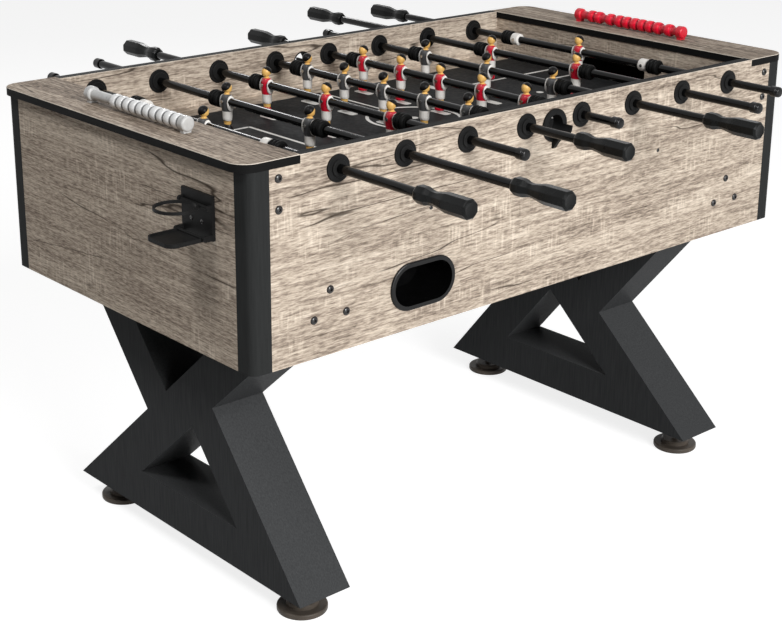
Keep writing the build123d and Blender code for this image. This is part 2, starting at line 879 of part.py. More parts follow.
def man():
    """One player round a rod along Y through the origin, facing +X."""
    foot = -man_foot_drop
    ankle = foot + man_shoe_height
    hem = ankle + man_shin_height
    waist = hem + man_shorts_height
    sleeve = man_hub_radius - 3
    front = [
        (man_shoe_half_width - 1, foot),
        (man_shoe_half_width, ankle - 4),
        (man_leg_half_width, ankle),
        (man_leg_half_width, hem),
        (man_shorts_half_width, hem),
        (man_shorts_half_width, waist),
        (man_torso_half_width, -sleeve),
        (man_torso_half_width, sleeve),
        (man_torso_half_width - 4, man_shoulder),
    ]
    front = front + [(-y, z) for y, z in front[::-1]]
    toe_side = [
        (man_shoe_toe, foot),
        (man_shoe_toe + 1, foot + 4),
        (man_leg_half_depth, ankle),
    ]
    heel_side = [
        (man_shoe_heel, foot),
        (man_shoe_heel, foot + 5),
        (man_leg_half_depth, ankle),
    ]
    upper = [
        (man_leg_half_depth, hem),
        (man_shorts_half_depth, hem),
        (man_shorts_half_depth, waist),
        (man_torso_half_depth, -sleeve),
        (man_torso_half_depth, sleeve),
        (man_torso_half_depth - 4, man_shoulder),
    ]
    side = toe_side + upper + [(-x, z) for x, z in (heel_side + upper)[::-1]]
    room = (-man_half_width, man_half_width)
    body = slab_yz(front, room) & slab_xz(side, room)
    body += rod_along_y(0, 0, man_hub_radius, room)
    neck_height = man_head_height - man_shoulder
    neck_middle = man_shoulder + neck_height / 2 - overrun
    body += Pos(0, 0, neck_middle) * Cylinder(man_neck_radius, neck_height)
    head = Pos(man_head_forward, 0, man_head_height) * Sphere(man_head_radius)
    bore = rod_along_y(0, 0, seat_radius, (-man_half_width - overrun, man_half_width + overrun))
    return body + head - bore


def screw_hole(y):
    """Hole for a fixing screw along X at a place on a rod along Y through the origin."""
    outside = -man_torso_half_depth - collar_radius
    return rod_along_x(y, 0, man_screw_radius + seat_clearance, (outside, man_screw_past_axis + overrun))


def fixing_screw(y, seat):
    """Fixing screw with its head on the -X side, on a seat at a distance from the axis."""
    head = rod_along_x(y, 0, man_screw_head_radius, (-seat - man_screw_head_height, -seat))
    return head + rod_along_x(y, 0, man_screw_radius, (-seat - overrun, man_screw_past_axis))


def stop_collar(y):
    """Round stop collar on a goalkeeper rod along Y through the origin."""
    ring = rod_along_y(0, 0, collar_radius, (y - collar_length / 2, y + collar_length / 2))
    ring = fillet(ring.edges().filter_by(GeomType.CIRCLE), collar_round)
    half = collar_flat_width / 2
    depth = (-collar_radius - overrun, -collar_radius + collar_flat_depth)
    flat = block(depth, (y - half, y + half), (-half, half))
    bore = rod_along_y(0, 0, seat_radius, (y - collar_length, y + collar_length))
    return ring - flat - bore


def ribbed_bumper(y_start):
    """Ribbed rubber bumper on a rod along Y through the origin, starting at y_start."""
    bore = running_radius
    core = bumper_core_radius
    edges = [Line((bore, 0), (core, 0)), Line((core, 0), (core, bumper_end))]
    for index in range(bumper_rib_count):
        low = bumper_end + index * bumper_rib_width
        middle = low + bumper_rib_width / 2
        crest = core + bumper_rib_width / 2
        edges.append(ThreePointArc((core, low), (crest, middle), (core, low + bumper_rib_width)))
    edges.append(Line((core, bumper_length - bumper_end), (core, bumper_length)))
    edges.append(Line((core, bumper_length), (bore, bumper_length)))
    edges.append(Line((bore, bumper_length), (bore, 0)))
    return Pos(0, y_start, 0) * revolve(make_face(edges), axis=Axis.Y)


def octagon(y, wall):
    """Section of the grip across the rod's axis, with flats at a wall's distance from the rod."""
    corner = (rod_radius + wall) / math.cos(math.pi / handle_sides)
    section = RegularPolygon(corner, handle_sides, rotation=180 / handle_sides)
    return Pos(0, y, 0) * Rot(90, 0, 0) * section


def handle(tip):
    """Faceted grip at the -Y end of a rod along Y through the origin; tip is its outer end."""
    start = tip + handle_length
    sections = [
        octagon(start, handle_mouth_wall),
        octagon(start - handle_lead, handle_collar_wall),
        octagon(start - handle_collar_end, handle_collar_wall),
        octagon(start - handle_neck_place, handle_neck_wall),
        octagon(start - handle_grip_start, handle_grip_wall),
        octagon(tip + handle_tip_chamfer, handle_grip_wall),
        octagon(tip, handle_grip_wall - handle_tip_chamfer),
    ]
    grip = loft(sections, ruled=True)
    return grip - rod_along_y(0, 0, seat_radius, (tip + handle_end_wall, start + overrun))


def end_cap(end):
    """Rounded cap at the +Y end of a rod along Y through the origin."""
    cap = rod_along_y(0, 0, cap_radius, (end - cap_length, end))
    cap = fillet(cap.faces().sort_by(Axis.Y)[-1].edges(), cap_round)
    return cap - rod_along_y(0, 0, seat_radius, (end - cap_length - overrun, end - cap_end_wall))


def outer_stop(kind):
    """Distance from a rod's middle to the outer face of its last man or collar."""
    if collar_places[kind]:
        return max(collar_places[kind]) + collar_length / 2
    return max(men_places[kind]) + man_half_width


def rod_travel(kind):
    """How far a rod can slide each way from the middle before its bumper meets a bushing nut."""
    return nut_face - outer_stop(kind) - face_clearance - bumper_length - stop_clearance


def rod_nodes(index):
    """The four nodes of one rod: bar with screws, men and collars, handle with cap, bumpers."""
    kind, handle_side, stand = rod_sets[index]
    outside = half_width + boss_height + rod_travel(kind)
    tip = -outside - handle_room[kind] - handle_length
    cap = outside + cap_room + cap_length
    ends = (tip + handle_end_wall + seat_clearance, cap - cap_end_wall - seat_clearance)
    bar = rod_along_y(0, 0, rod_radius, ends)
    screws = []
    players = []
    player = man()
    if handle_side > 0:
        player = Rot(0, 0, 180) * player
    for y in men_places[kind]:
        bar -= screw_hole(y)
        players.append(Pos(0, y, 0) * player - screw_hole(y))
        screws.append(fixing_screw(y, man_torso_half_depth))
    for y in collar_places[kind]:
        bar -= screw_hole(y)
        players.append(stop_collar(y) - screw_hole(y))
        screws.append(fixing_screw(y, collar_radius - collar_flat_depth))
    bumper_start = outer_stop(kind) + face_clearance
    bumpers = [ribbed_bumper(bumper_start), ribbed_bumper(-bumper_start - bumper_length)]
    grips = [handle(tip), end_cap(cap)]
    if handle_side > 0:
        bar = mirrored_side(bar)
        grips = [mirrored_side(grip) for grip in grips]
    place = Pos(rod_places[index], stand, rod_height)
    return {
        "bar": [place * piece for piece in [bar] + screws],
        "men": [place * piece for piece in players],
        "handle": [place * piece for piece in grips],
        "bumpers": [place * piece for piece in bumpers],
    }


# All nodes

os.makedirs("parts", exist_ok=True)

save("side_panels", both_ends(side_panel()))
save("end_panels", both_ends(end_panel()))
save("goal_walls", both_ends(goal_wall()))
save("playfield", [playfield()])
save("playfield_cleats", both_ends(cleat()))
save("end_tops", both_ends(end_top()))

post = corner_post()
save("corner_posts", both_ends(post) + both_ends(mirrored_side(post)))
bracket = corner_bracket()
save("corner_brackets", both_ends(bracket) + both_ends(mirrored_side(bracket)))

save("rod_bushings", [copy for x in rod_places for copy in both_ends(bushing(x))])
save("bushing_nuts", [copy for x in rod_places for copy in both_ends(bushing_nut(x))])

save("serve_cups", both_ends(serve_cup()))
save("ball_return_trays", both_ends(return_tray()))
save("ball_runways", both_ends(runway()))

save("cup_holder_plates", both_ends(cup_plate()))
save("left_cup_ring", [cup_ring()])
save("left_cup_tray", [cup_tray()])
save("right_cup_ring", [turned(cup_ring())])
save("right_cup_tray", [turned(cup_tray())])

save("score_rails", [score_rail(-1), score_rail(1)])
save("left_score_beads", score_beads(-1, left_bead_gaps, left_bead_stand))
save("right_score_beads", score_beads(1, right_bead_gaps, right_bead_stand))

save("leg_long_diagonals", both_ends(long_diagonal()))
save("leg_short_beams", both_ends(upper_half()) + both_ends(lower_half()) + both_ends(base_beam()))

for end_name, x in (("left", -leg_centre), ("right", leg_centre)):
    for side_name, y in (("near", -foot_y), ("far", foot_y)):
        save(f"{end_name}_{side_name}_levelling_foot", [levelling_foot(x, y)])

save("bolts_and_screws", fasteners())

for index in range(rod_count):
    nodes = rod_nodes(index)
    save(f"rod_{index + 1}", nodes["bar"])
    save(f"rod_{index + 1}_men", nodes["men"])
    save(f"rod_{index + 1}_handle", nodes["handle"])
    save(f"rod_{index + 1}_bumpers", nodes["bumpers"])
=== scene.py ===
import json
import math

import bpy
from mathutils import Matrix, Vector


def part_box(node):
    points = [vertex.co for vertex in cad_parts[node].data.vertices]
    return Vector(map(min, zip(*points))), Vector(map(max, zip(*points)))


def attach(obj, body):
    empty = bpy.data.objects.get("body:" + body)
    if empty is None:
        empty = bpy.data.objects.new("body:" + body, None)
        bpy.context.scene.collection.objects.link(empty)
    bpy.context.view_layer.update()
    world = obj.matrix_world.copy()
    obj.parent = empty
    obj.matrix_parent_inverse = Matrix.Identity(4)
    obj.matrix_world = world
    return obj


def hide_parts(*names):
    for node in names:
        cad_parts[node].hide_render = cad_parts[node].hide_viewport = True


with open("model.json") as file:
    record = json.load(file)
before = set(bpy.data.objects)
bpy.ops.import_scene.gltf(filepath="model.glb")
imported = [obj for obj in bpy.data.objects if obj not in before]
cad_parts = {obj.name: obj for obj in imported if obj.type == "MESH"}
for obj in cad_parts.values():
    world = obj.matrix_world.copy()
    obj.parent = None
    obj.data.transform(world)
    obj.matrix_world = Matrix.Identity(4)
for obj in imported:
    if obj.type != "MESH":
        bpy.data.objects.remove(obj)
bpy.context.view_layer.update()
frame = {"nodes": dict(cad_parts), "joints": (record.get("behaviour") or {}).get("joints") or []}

# Foosball table with rustic oak panels, black posts and legs, and two teams of painted men. Metres.
# The near side is -Y and the left end is -X.
parts = frame["nodes"]
MM = 0.001

field_low, field_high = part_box("playfield")
middle_y = (field_low.y + field_high.y) / 2
field_top = field_high.z
table_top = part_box("end_tops")[1].z
rod_axes = [Vector(joint["pos_m"]) for joint in frame["joints"] if joint["name"].endswith("_spin")]

# Each rod from left to right: places of its men and collars, and whether its handle is on the near side
rod_kinds = [
    ([0], [-189, 189], True),
    ([-126, 126], [], True),
    ([-188, 0, 188], [], False),
    ([-240, -120, 0, 120, 240], [], True),
    ([-240, -120, 0, 120, 240], [], False),
    ([-188, 0, 188], [], True),
    ([-126, 126], [], False),
    ([0], [-189, 189], False),
]


# Selecting and shaping


def clear_selection():
    """Leave edit mode and deselect everything."""
    if bpy.context.mode != "OBJECT":
        bpy.ops.object.mode_set(mode="OBJECT")
    bpy.ops.object.select_all(action="DESELECT")


def work_on(*pieces):
    """Select these pieces and make the first one active."""
    clear_selection()
    for piece in pieces:
        piece.select_set(True)
    bpy.context.view_layer.objects.active = pieces[0]


def named(name):
    """The piece just added, with its name and its place moved into its mesh."""
    piece = bpy.context.object
    piece.name = name
    piece.data.name = name
    work_on(piece)
    bpy.ops.object.transform_apply(location=True, rotation=True, scale=True)
    return piece


def edit_faces(piece, test):
    """Go into edit mode with the faces that pass the test selected."""
    work_on(piece)
    bpy.ops.object.mode_set(mode="EDIT")
    bpy.ops.mesh.select_mode(type="FACE")
    bpy.ops.mesh.select_all(action="DESELECT")
    bpy.ops.object.mode_set(mode="OBJECT")
    for face in piece.data.polygons:
        face.select = bool(test(face))
    bpy.ops.object.mode_set(mode="EDIT")


def edit_edges(piece, test):
    """Go into edit mode with the edges whose two ends pass the test selected."""
    work_on(piece)
    bpy.ops.object.mode_set(mode="EDIT")
    bpy.ops.mesh.select_mode(type="EDGE")
    bpy.ops.mesh.select_all(action="DESELECT")
    bpy.ops.object.mode_set(mode="OBJECT")
    points = piece.data.vertices
    for edge in piece.data.edges:
        edge.select = bool(test(points[edge.vertices[0]].co, points[edge.vertices[1]].co))
    bpy.ops.object.mode_set(mode="EDIT")


def closed(piece):
    """Merge doubled points and turn the faces outwards."""
    work_on(piece)
    bpy.ops.object.mode_set(mode="EDIT")
    bpy.ops.mesh.select_all(action="SELECT")
    bpy.ops.mesh.remove_doubles(threshold=0.00001)
    bpy.ops.mesh.normals_make_consistent(inside=False)
    bpy.ops.object.mode_set(mode="OBJECT")
    return piece


def smooth(piece, degrees):
    """Shade smooth, keeping edges sharper than the angle."""
    work_on(piece)
    bpy.ops.object.shade_smooth_by_angle(angle=math.radians(degrees))
    return piece


def subdivided(piece):
    """Round the piece with one level of subdivision, applied."""
    work_on(piece)
    rounding = piece.modifiers.new("rounding", "SUBSURF")
    rounding.levels = 1
    rounding.render_levels = 1
    bpy.ops.object.modifier_apply(modifier=rounding.name)
    return piece


def joined(name, *pieces):
    """One piece from several, keeping their materials."""
    work_on(*pieces)
    bpy.ops.object.join()
    whole = bpy.context.object
    whole.name = name
    whole.data.name = name
    return whole


def copied(piece, place):
    """A copy of a piece with its own mesh, moved by a matrix."""
    twin = bpy.data.objects.new(piece.name, piece.data.copy())
    bpy.context.scene.collection.objects.link(twin)
    twin.data.transform(place)
    if place.determinant() < 0:
        twin.data.flip_normals()
    return twin


def removed(*pieces):
    """Take away the first copies of repeated pieces, or a cutter that has done its work."""
    for piece in pieces:
        bpy.data.objects.remove(piece)


def drawn_out(name, sides, axis, sections):
    """Extrude a ring along an axis through sections (place, half size, half size, offset)."""
    turn = (0, 0, 0) if axis == "Z" else (math.pi / 2, 0, 0)
    bpy.ops.mesh.primitive_circle_add(vertices=sides, radius=1, fill_type="NGON", rotation=turn)
    piece = named(name)
    bpy.ops.object.mode_set(mode="EDIT")
    bpy.ops.mesh.select_all(action="SELECT")
    if sides == 8:
        # An eight-sided piece has flats, not corners, at its top and bottom
        bpy.ops.transform.rotate(
            value=math.pi / 8, orient_axis="Y", orient_type="GLOBAL", center_override=(0, 0, 0)
        )
    place, across, deep, shift = sections[0]
    here = Vector((shift, 0, place)) if axis == "Z" else Vector((0, place, shift))
    size = (across, deep, 1) if axis == "Z" else (across, 1, deep)
    bpy.ops.transform.resize(value=size, center_override=(0, 0, 0))
    bpy.ops.transform.translate(value=here)
    for section in sections[1:]:
        place, new_across, new_deep, shift = section
        there = Vector((shift, 0, place)) if axis == "Z" else Vector((0, place, shift))
        bpy.ops.mesh.extrude_region_move(TRANSFORM_OT_translate={"value": there - here})
        ratio = (new_across / across, new_deep / deep)
        size = (ratio[0], ratio[1], 1) if axis == "Z" else (ratio[0], 1, ratio[1])
        bpy.ops.transform.resize(value=size, center_override=there)
        here, across, deep = there, new_across, new_deep
    bpy.ops.object.mode_set(mode="OBJECT")
    return closed(piece)


def turned(name, sides, profile):
    """Extrude a ring along Y through a profile of places and radii."""
    return drawn_out(name, sides, "Y", [(y, radius, radius, 0.0) for y, radius in profile])


# Colours and shader nodes


def paint(hex_colour):
    """An sRGB hex colour as linear red, green, blue and alpha."""
    values = [int(hex_colour[i:i + 2], 16) / 255 for i in (1, 3, 5)]
    return [v / 12.92 if v <= 0.04045 else ((v + 0.055) / 1.055) ** 2.4 for v in values] + [1.0]


def add(tree, kind, inputs=None, **settings):
    """Add one shader node; inputs gives each socket a value or another node's output."""
    made = tree.nodes.new(kind)
    for key, value in settings.items():
        setattr(made, key, value)
    for key, value in (inputs or {}).items():
        if isinstance(value, bpy.types.NodeSocket):
            tree.links.new(value, made.inputs[key])
        else:
            made.inputs[key].default_value = value
    return made


def new_finish(name):
    """A new material, its node tree and its surface shader."""
    finish = bpy.data.materials.new(name)
    finish.use_nodes = True
    return finish, finish.node_tree, finish.node_tree.nodes["Principled BSDF"]


def dress(piece, finish):
    """Give a piece one finish all over."""
    if not piece.data.materials:
        piece.data.materials.append(finish)
    for i in range(len(piece.material_slots)):
        piece.material_slots[i].material = finish


def printed_grain(tree, along, contrast, painted_shade):
    """Level of the oak print from dark flecks to pale wood, and its streaks."""
    # Real pores are under 1 mm across; they are drawn as flecks 2.5 mm by 16 mm so that they show
    fleck_place = add(tree, "ShaderNodeMapping", {"Vector": along, "Scale": (62.0, 400.0, 400.0)})
    fleck = add(
        tree, "ShaderNodeTexNoise",
        {"Vector": fleck_place.outputs[0], "Scale": 1.0, "Detail": 3.0, "Roughness": 0.6},
    )
    # Streaks 5 mm across and 120 mm long, and broad figure 35 mm across and 0.45 m long
    streak_place = add(tree, "ShaderNodeMapping", {"Vector": along, "Scale": (8.5, 200.0, 200.0)})
    streak = add(
        tree, "ShaderNodeTexNoise",
        {"Vector": streak_place.outputs[0], "Scale": 1.0, "Detail": 4.0, "Roughness": 0.6, "Distortion": 0.3},
    )
    broad_place = add(tree, "ShaderNodeMapping", {"Vector": along, "Scale": (2.2, 28.0, 28.0)})
    broad = add(
        tree, "ShaderNodeTexNoise",
        {"Vector": broad_place.outputs[0], "Scale": 1.0, "Detail": 3.0, "Distortion": 0.8},
    )
    # Saw marks stand pale across the grain about 6 mm apart, broken up, in patches about 45 mm tall
    saw_place = add(tree, "ShaderNodeMapping", {"Vector": along, "Scale": (170.0, 22.0, 22.0)})
    saw = add(
        tree, "ShaderNodeTexNoise",
        {"Vector": saw_place.outputs[0], "Scale": 1.0, "Detail": 2.0, "Roughness": 0.5},
    )
    patch_place = add(tree, "ShaderNodeMapping", {"Vector": along, "Scale": (9.0, 22.0, 22.0)})
    patch = add(tree, "ShaderNodeTexNoise", {"Vector": patch_place.outputs[0], "Scale": 1.0, "Detail": 1.0})
    patch_mask = add(
        tree, "ShaderNodeMapRange",
        {"Value": patch.outputs[0], "From Min": 0.50, "From Max": 0.62, "To Min": 0.0, "To Max": 1.0},
    )
    saw_pale = add(
        tree, "ShaderNodeMath", {0: saw.outputs[0], 1: 0.5}, operation="SUBTRACT", use_clamp=True
    )
    saw_mark = add(
        tree, "ShaderNodeMath", {0: patch_mask.outputs[0], 1: saw_pale.outputs[0]}, operation="MULTIPLY"
    )
    # The start lies lower the more contrast there is, so that the mean tone stays, and lower still by the
    # painted shade
    start = 0.335 - 0.700 * contrast - painted_shade
    level = add(
        tree, "ShaderNodeMath", {0: fleck.outputs[0], 1: 0.80 * contrast, 2: start}, operation="MULTIPLY_ADD"
    )
    for layer, share in ((streak, 0.60 * contrast), (broad, 0.35), (saw_mark, 0.7)):
        level = add(
            tree, "ShaderNodeMath",
            {0: layer.outputs[0], 1: share, 2: level.outputs[0]}, operation="MULTIPLY_ADD",
        )
    return level.outputs[0], streak.outputs[0]


def printed_cracks(tree, along):
    """Mask of a few long dark cracks, about 1 mm wide and up to 0.4 m long."""
    # They follow the contour lines of a slow noise
    crack_place = add(tree, "ShaderNodeMapping", {"Vector": along, "Scale": (1.5, 13.0, 13.0)})
    crack = add(
        tree, "ShaderNodeTexNoise",
        {"Vector": crack_place.outputs[0], "Scale": 1.0, "Detail": 3.0, "Roughness": 0.42, "Distortion": 0.2},
    )
    off_line = add(tree, "ShaderNodeMath", {0: crack.outputs[0], 1: 0.5}, operation="SUBTRACT")
    from_line = add(tree, "ShaderNodeMath", {0: off_line.outputs[0]}, operation="ABSOLUTE")
    crack_line = add(
        tree, "ShaderNodeMapRange",
        {"Value": from_line.outputs[0], "From Min": 0.0015, "From Max": 0.0075, "To Min": 1.0, "To Max": 0.0},
    )
    # Another noise, 240 mm across, leaves out about half of them
    some_place = add(tree, "ShaderNodeMapping", {"Vector": along, "Location": (3.1, 1.7, 5.2)})
    some = add(tree, "ShaderNodeTexNoise", {"Vector": some_place.outputs[0], "Scale": 4.2, "Detail": 1.0})
    some_mask = add(
        tree, "ShaderNodeMapRange",
        {"Value": some.outputs[0], "From Min": 0.49, "From Max": 0.56, "To Min": 0.0, "To Max": 0.9},
    )
    mark = add(
        tree, "ShaderNodeMath", {0: crack_line.outputs[0], 1: some_mask.outputs[0]}, operation="MULTIPLY"
    )
    return mark.outputs[0]


def banded_edges(tree, where, edge, colour):
    """The print with black plastic band on its edges, and a pale line along the trimmed edge of the film that
    is painted highlight.
    """
    normal = add(tree, "ShaderNodeNewGeometry").outputs["Normal"]
    facing = add(tree, "ShaderNodeSeparateXYZ", {"Vector": normal})
    tall = add(tree, "ShaderNodeMath", {0: facing.outputs["Z"]}, operation="ABSOLUTE")
    limits = {"flat": (0.5, 0.52, 0.0, 1.0), "upright": (0.25, 0.3, 1.0, 0.0)}[edge]
    band = add(
        tree, "ShaderNodeMapRange",
        {"Value": tall.outputs[0], "From Min": limits[0], "From Max": limits[1],
         "To Min": limits[2], "To Max": limits[3]},
    )
    # The pale line is painted highlight: on upright panels just under the top edge, and on lying boards where
    # the rounded rim turns
    if edge == "flat":
        height = add(tree, "ShaderNodeSeparateXYZ", {"Vector": where}).outputs["Z"]
        trim_highlight = add(
            tree, "ShaderNodeMapRange",
            {"Value": height, "From Min": table_top - 2.0 * MM, "From Max": table_top - 1.4 * MM,
             "To Min": 0.0, "To Max": 0.5},
        )
    else:
        trim_highlight = add(
            tree, "ShaderNodeMapRange",
            {"Value": tall.outputs[0], "From Min": 0.93, "From Max": 0.97, "To Min": 0.8, "To Max": 0.0},
        )
    trim_highlighted = add(
        tree, "ShaderNodeMix", {"Factor": trim_highlight.outputs[0], "A": colour, "B": paint("#e2d8ca")},
        data_type="RGBA",
    )
    banded = add(
        tree, "ShaderNodeMix", {"Factor": band.outputs[0], "A": trim_highlighted.outputs[2], "B": paint("#161616")},
        data_type="RGBA",
    )
    return banded.outputs[2]


def papered_back(tree, where, colour):
    """The print with black paper on the faces towards the middle of the table."""
    end = add(tree, "ShaderNodeSeparateXYZ", {"Vector": where}).outputs["X"]
    normal = add(tree, "ShaderNodeNewGeometry").outputs["Normal"]
    facing = add(tree, "ShaderNodeSeparateXYZ", {"Vector": normal})
    outward = add(tree, "ShaderNodeMath", {0: end, 1: facing.outputs["X"]}, operation="MULTIPLY")
    inner = add(tree, "ShaderNodeMath", {0: outward.outputs[0], 1: -0.3}, operation="LESS_THAN")
    papered = add(
        tree, "ShaderNodeMix", {"Factor": inner.outputs[0], "A": colour, "B": paint("#151414")},
        data_type="RGBA",
    )
    return papered.outputs[2]


def oak_laminate(name, grain, edge, contrast=1.0, painted_shade=0.0, backed=False):
    """Rustic oak decor paper under a satin resin film, on board.

    The eye gets short brown flecks and streaks along the grain, patches of saw marks across it, a few long
    dark cracks and a soft sheen. Grain is the axis it runs along. Edge is which faces have black band:
    "flat" for top edges of upright panels, "upright" for the rim of lying boards, "none" for panels whose
    edges are covered. Contrast strengthens the flecks and streaks, and painted_shade darkens the whole print
    as painted shade, for boards that get less light than the upright panels. A backed panel has black paper
    on the face towards the middle of the table.
    """
    finish, tree, shader = new_finish(name)
    where = add(tree, "ShaderNodeTexCoord").outputs["Object"]
    turn = {"X": (0, 0, 0), "Y": (0, 0, math.pi / 2)}[grain]
    along = add(tree, "ShaderNodeMapping", {"Vector": where, "Rotation": turn}).outputs[0]
    level, streak = printed_grain(tree, along, contrast, painted_shade)
    cracks = printed_cracks(tree, along)
    tone = add(tree, "ShaderNodeValToRGB", {"Fac": level})
    tone.color_ramp.elements[0].position = 0.22
    tone.color_ramp.elements[0].color = paint("#5f5449")
    tone.color_ramp.elements[1].position = 0.78
    tone.color_ramp.elements[1].color = paint("#e6d9c9")
    for place, hex_colour in ((0.40, "#95877a"), (0.52, "#b8a999"), (0.64, "#d0c2b1")):
        tone.color_ramp.elements.new(place).color = paint(hex_colour)
    cracked = add(
        tree, "ShaderNodeMix", {"Factor": cracks, "A": tone.outputs[0], "B": paint("#3f362e")},
        data_type="RGBA",
    )
    colour = cracked.outputs[2]
    if edge != "none":
        colour = banded_edges(tree, where, edge, colour)
    if backed:
        colour = papered_back(tree, where, colour)
    tree.links.new(colour, shader.inputs["Base Color"])
    sheen = add(
        tree, "ShaderNodeMapRange",
        {"Value": streak, "From Min": 0.3, "From Max": 0.7, "To Min": 0.65, "To Max": 0.5},
    )
    tree.links.new(sheen.outputs[0], shader.inputs["Roughness"])
    relief = add(tree, "ShaderNodeMath", {0: level, 1: cracks}, operation="SUBTRACT")
    bump = add(tree, "ShaderNodeBump", {"Height": relief.outputs[0], "Strength": 0.35, "Distance": 0.8 * MM})
    tree.links.new(bump.outputs[0], shader.inputs["Normal"])
    shader.inputs["Specular IOR Level"].default_value = 0.04
    return finish


def moulded(name, colour, dark, rough, grit_mm, gloss=0.5, depth=0.25):
    """A moulded or coated surface of one colour with fine texture.

    The eye gets a slight mottle 36 mm across between two near tones, a sheen that breaks up with it, and a
    grit of the given size, drawn coarser than the real one where that would not show.
    """
    finish, tree, shader = new_finish(name)
    where = add(tree, "ShaderNodeTexCoord").outputs["Object"]
    mottle = add(tree, "ShaderNodeTexNoise", {"Vector": where, "Scale": 28.0, "Detail": 4.0})
    tone = add(
        tree, "ShaderNodeMix",
        {"Factor": mottle.outputs[0], "A": paint(dark), "B": paint(colour)}, data_type="RGBA",
    )
    tree.links.new(tone.outputs[2], shader.inputs["Base Color"])
    sheen = add(
        tree, "ShaderNodeMapRange",
        {"Value": mottle.outputs[0], "From Min": 0.3, "From Max": 0.7,
         "To Min": max(rough - 0.05, 0.05), "To Max": min(rough + 0.06, 1.0)},
    )
    tree.links.new(sheen.outputs[0], shader.inputs["Roughness"])
    grit = add(tree, "ShaderNodeTexNoise", {"Vector": where, "Scale": 1000 / grit_mm, "Detail": 2.0})
    bump = add(tree, "ShaderNodeBump", {"Height": grit.outputs[0], "Strength": depth, "Distance": 0.2 * MM})
    tree.links.new(bump.outputs[0], shader.inputs["Normal"])
    shader.inputs["Specular IOR Level"].default_value = gloss
    return finish


def black_woodgrain(name, dark, light, gloss):
    """Black woodgrain foil on board: nearly black, with faint upright pores that catch light."""
    finish, tree, shader = new_finish(name)
    where = add(tree, "ShaderNodeTexCoord").outputs["Object"]
    # Real pores are finer; these are 2.5 mm apart and 60 mm long so that they show
    stretch = add(tree, "ShaderNodeMapping", {"Vector": where, "Scale": (400.0, 400.0, 16.0)})
    pores = add(tree, "ShaderNodeTexNoise", {"Vector": stretch.outputs[0], "Scale": 1.0, "Detail": 3.0})
    tone = add(
        tree, "ShaderNodeMix",
        {"Factor": pores.outputs[0], "A": paint(dark), "B": paint(light)}, data_type="RGBA",
    )
    tree.links.new(tone.outputs[2], shader.inputs["Base Color"])
    sheen = add(
        tree, "ShaderNodeMapRange",
        {"Value": pores.outputs[0], "From Min": 0.3, "From Max": 0.7, "To Min": 0.5, "To Max": 0.4},
    )
    tree.links.new(sheen.outputs[0], shader.inputs["Roughness"])
    bump = add(tree, "ShaderNodeBump", {"Height": pores.outputs[0], "Strength": 0.15, "Distance": 0.3 * MM})
    tree.links.new(bump.outputs[0], shader.inputs["Normal"])
    shader.inputs["Specular IOR Level"].default_value = gloss
    return finish


def printed_field():
    """Printed playfield board: charcoal ink under a satin varnish, faintly clouded and scuffed by the ball."""
    finish, tree, shader = new_finish("printed_charcoal_field")
    where = add(tree, "ShaderNodeTexCoord").outputs["Object"]
    # Clouds 110 mm across
    cloud = add(tree, "ShaderNodeTexNoise", {"Vector": where, "Scale": 9.0, "Detail": 3.0})
    tone = add(
        tree, "ShaderNodeMix",
        {"Factor": cloud.outputs[0], "A": paint("#1b1b1c"), "B": paint("#313233")}, data_type="RGBA",
    )
    tree.links.new(tone.outputs[2], shader.inputs["Base Color"])
    # Scuffs 8 mm apart
    scuff = add(tree, "ShaderNodeTexNoise", {"Vector": where, "Scale": 125.0, "Detail": 3.0})
    sheen = add(
        tree, "ShaderNodeMapRange",
        {"Value": scuff.outputs[0], "From Min": 0.3, "From Max": 0.7, "To Min": 0.42, "To Max": 0.58},
    )
    tree.links.new(sheen.outputs[0], shader.inputs["Roughness"])
    shader.inputs["Specular IOR Level"].default_value = 0.02
    return finish


def enamelled_rod(name, axis_x):
    """Rod in black gloss enamel with bright zinc fixing screws."""
    finish, tree, shader = new_finish(name)
    where = add(tree, "ShaderNodeTexCoord").outputs["Object"]
    # The screw heads are what stands out 9 mm or more from the axis on the -X side
    side = add(tree, "ShaderNodeSeparateXYZ", {"Vector": where}).outputs["X"]
    screw = add(
        tree, "ShaderNodeMapRange",
        {"Value": side, "From Min": axis_x - 9.0 * MM, "From Max": axis_x - 8.8 * MM,
         "To Min": 1.0, "To Max": 0.0},
    )
    # Fine handling marks 4 mm long round the rod
    stretch = add(tree, "ShaderNodeMapping", {"Vector": where, "Scale": (250.0, 900.0, 250.0)})
    marks = add(tree, "ShaderNodeTexNoise", {"Vector": stretch.outputs[0], "Scale": 1.0, "Detail": 2.0})
    enamel = add(
        tree, "ShaderNodeMix",
        {"Factor": marks.outputs[0], "A": paint("#070707"), "B": paint("#0c0c0c")}, data_type="RGBA",
    )
    tone = add(
        tree, "ShaderNodeMix",
        {"Factor": screw.outputs[0], "A": enamel.outputs[2], "B": paint("#c4c4c2")}, data_type="RGBA",
    )
    tree.links.new(tone.outputs[2], shader.inputs["Base Color"])
    tree.links.new(screw.outputs[0], shader.inputs["Metallic"])
    sheen = add(
        tree, "ShaderNodeMapRange",
        {"Value": marks.outputs[0], "From Min": 0.3, "From Max": 0.7, "To Min": 0.10, "To Max": 0.15},
    )
    tree.links.new(sheen.outputs[0], shader.inputs["Roughness"])
    shader.inputs["Specular IOR Level"].default_value = 0.18
    return finish


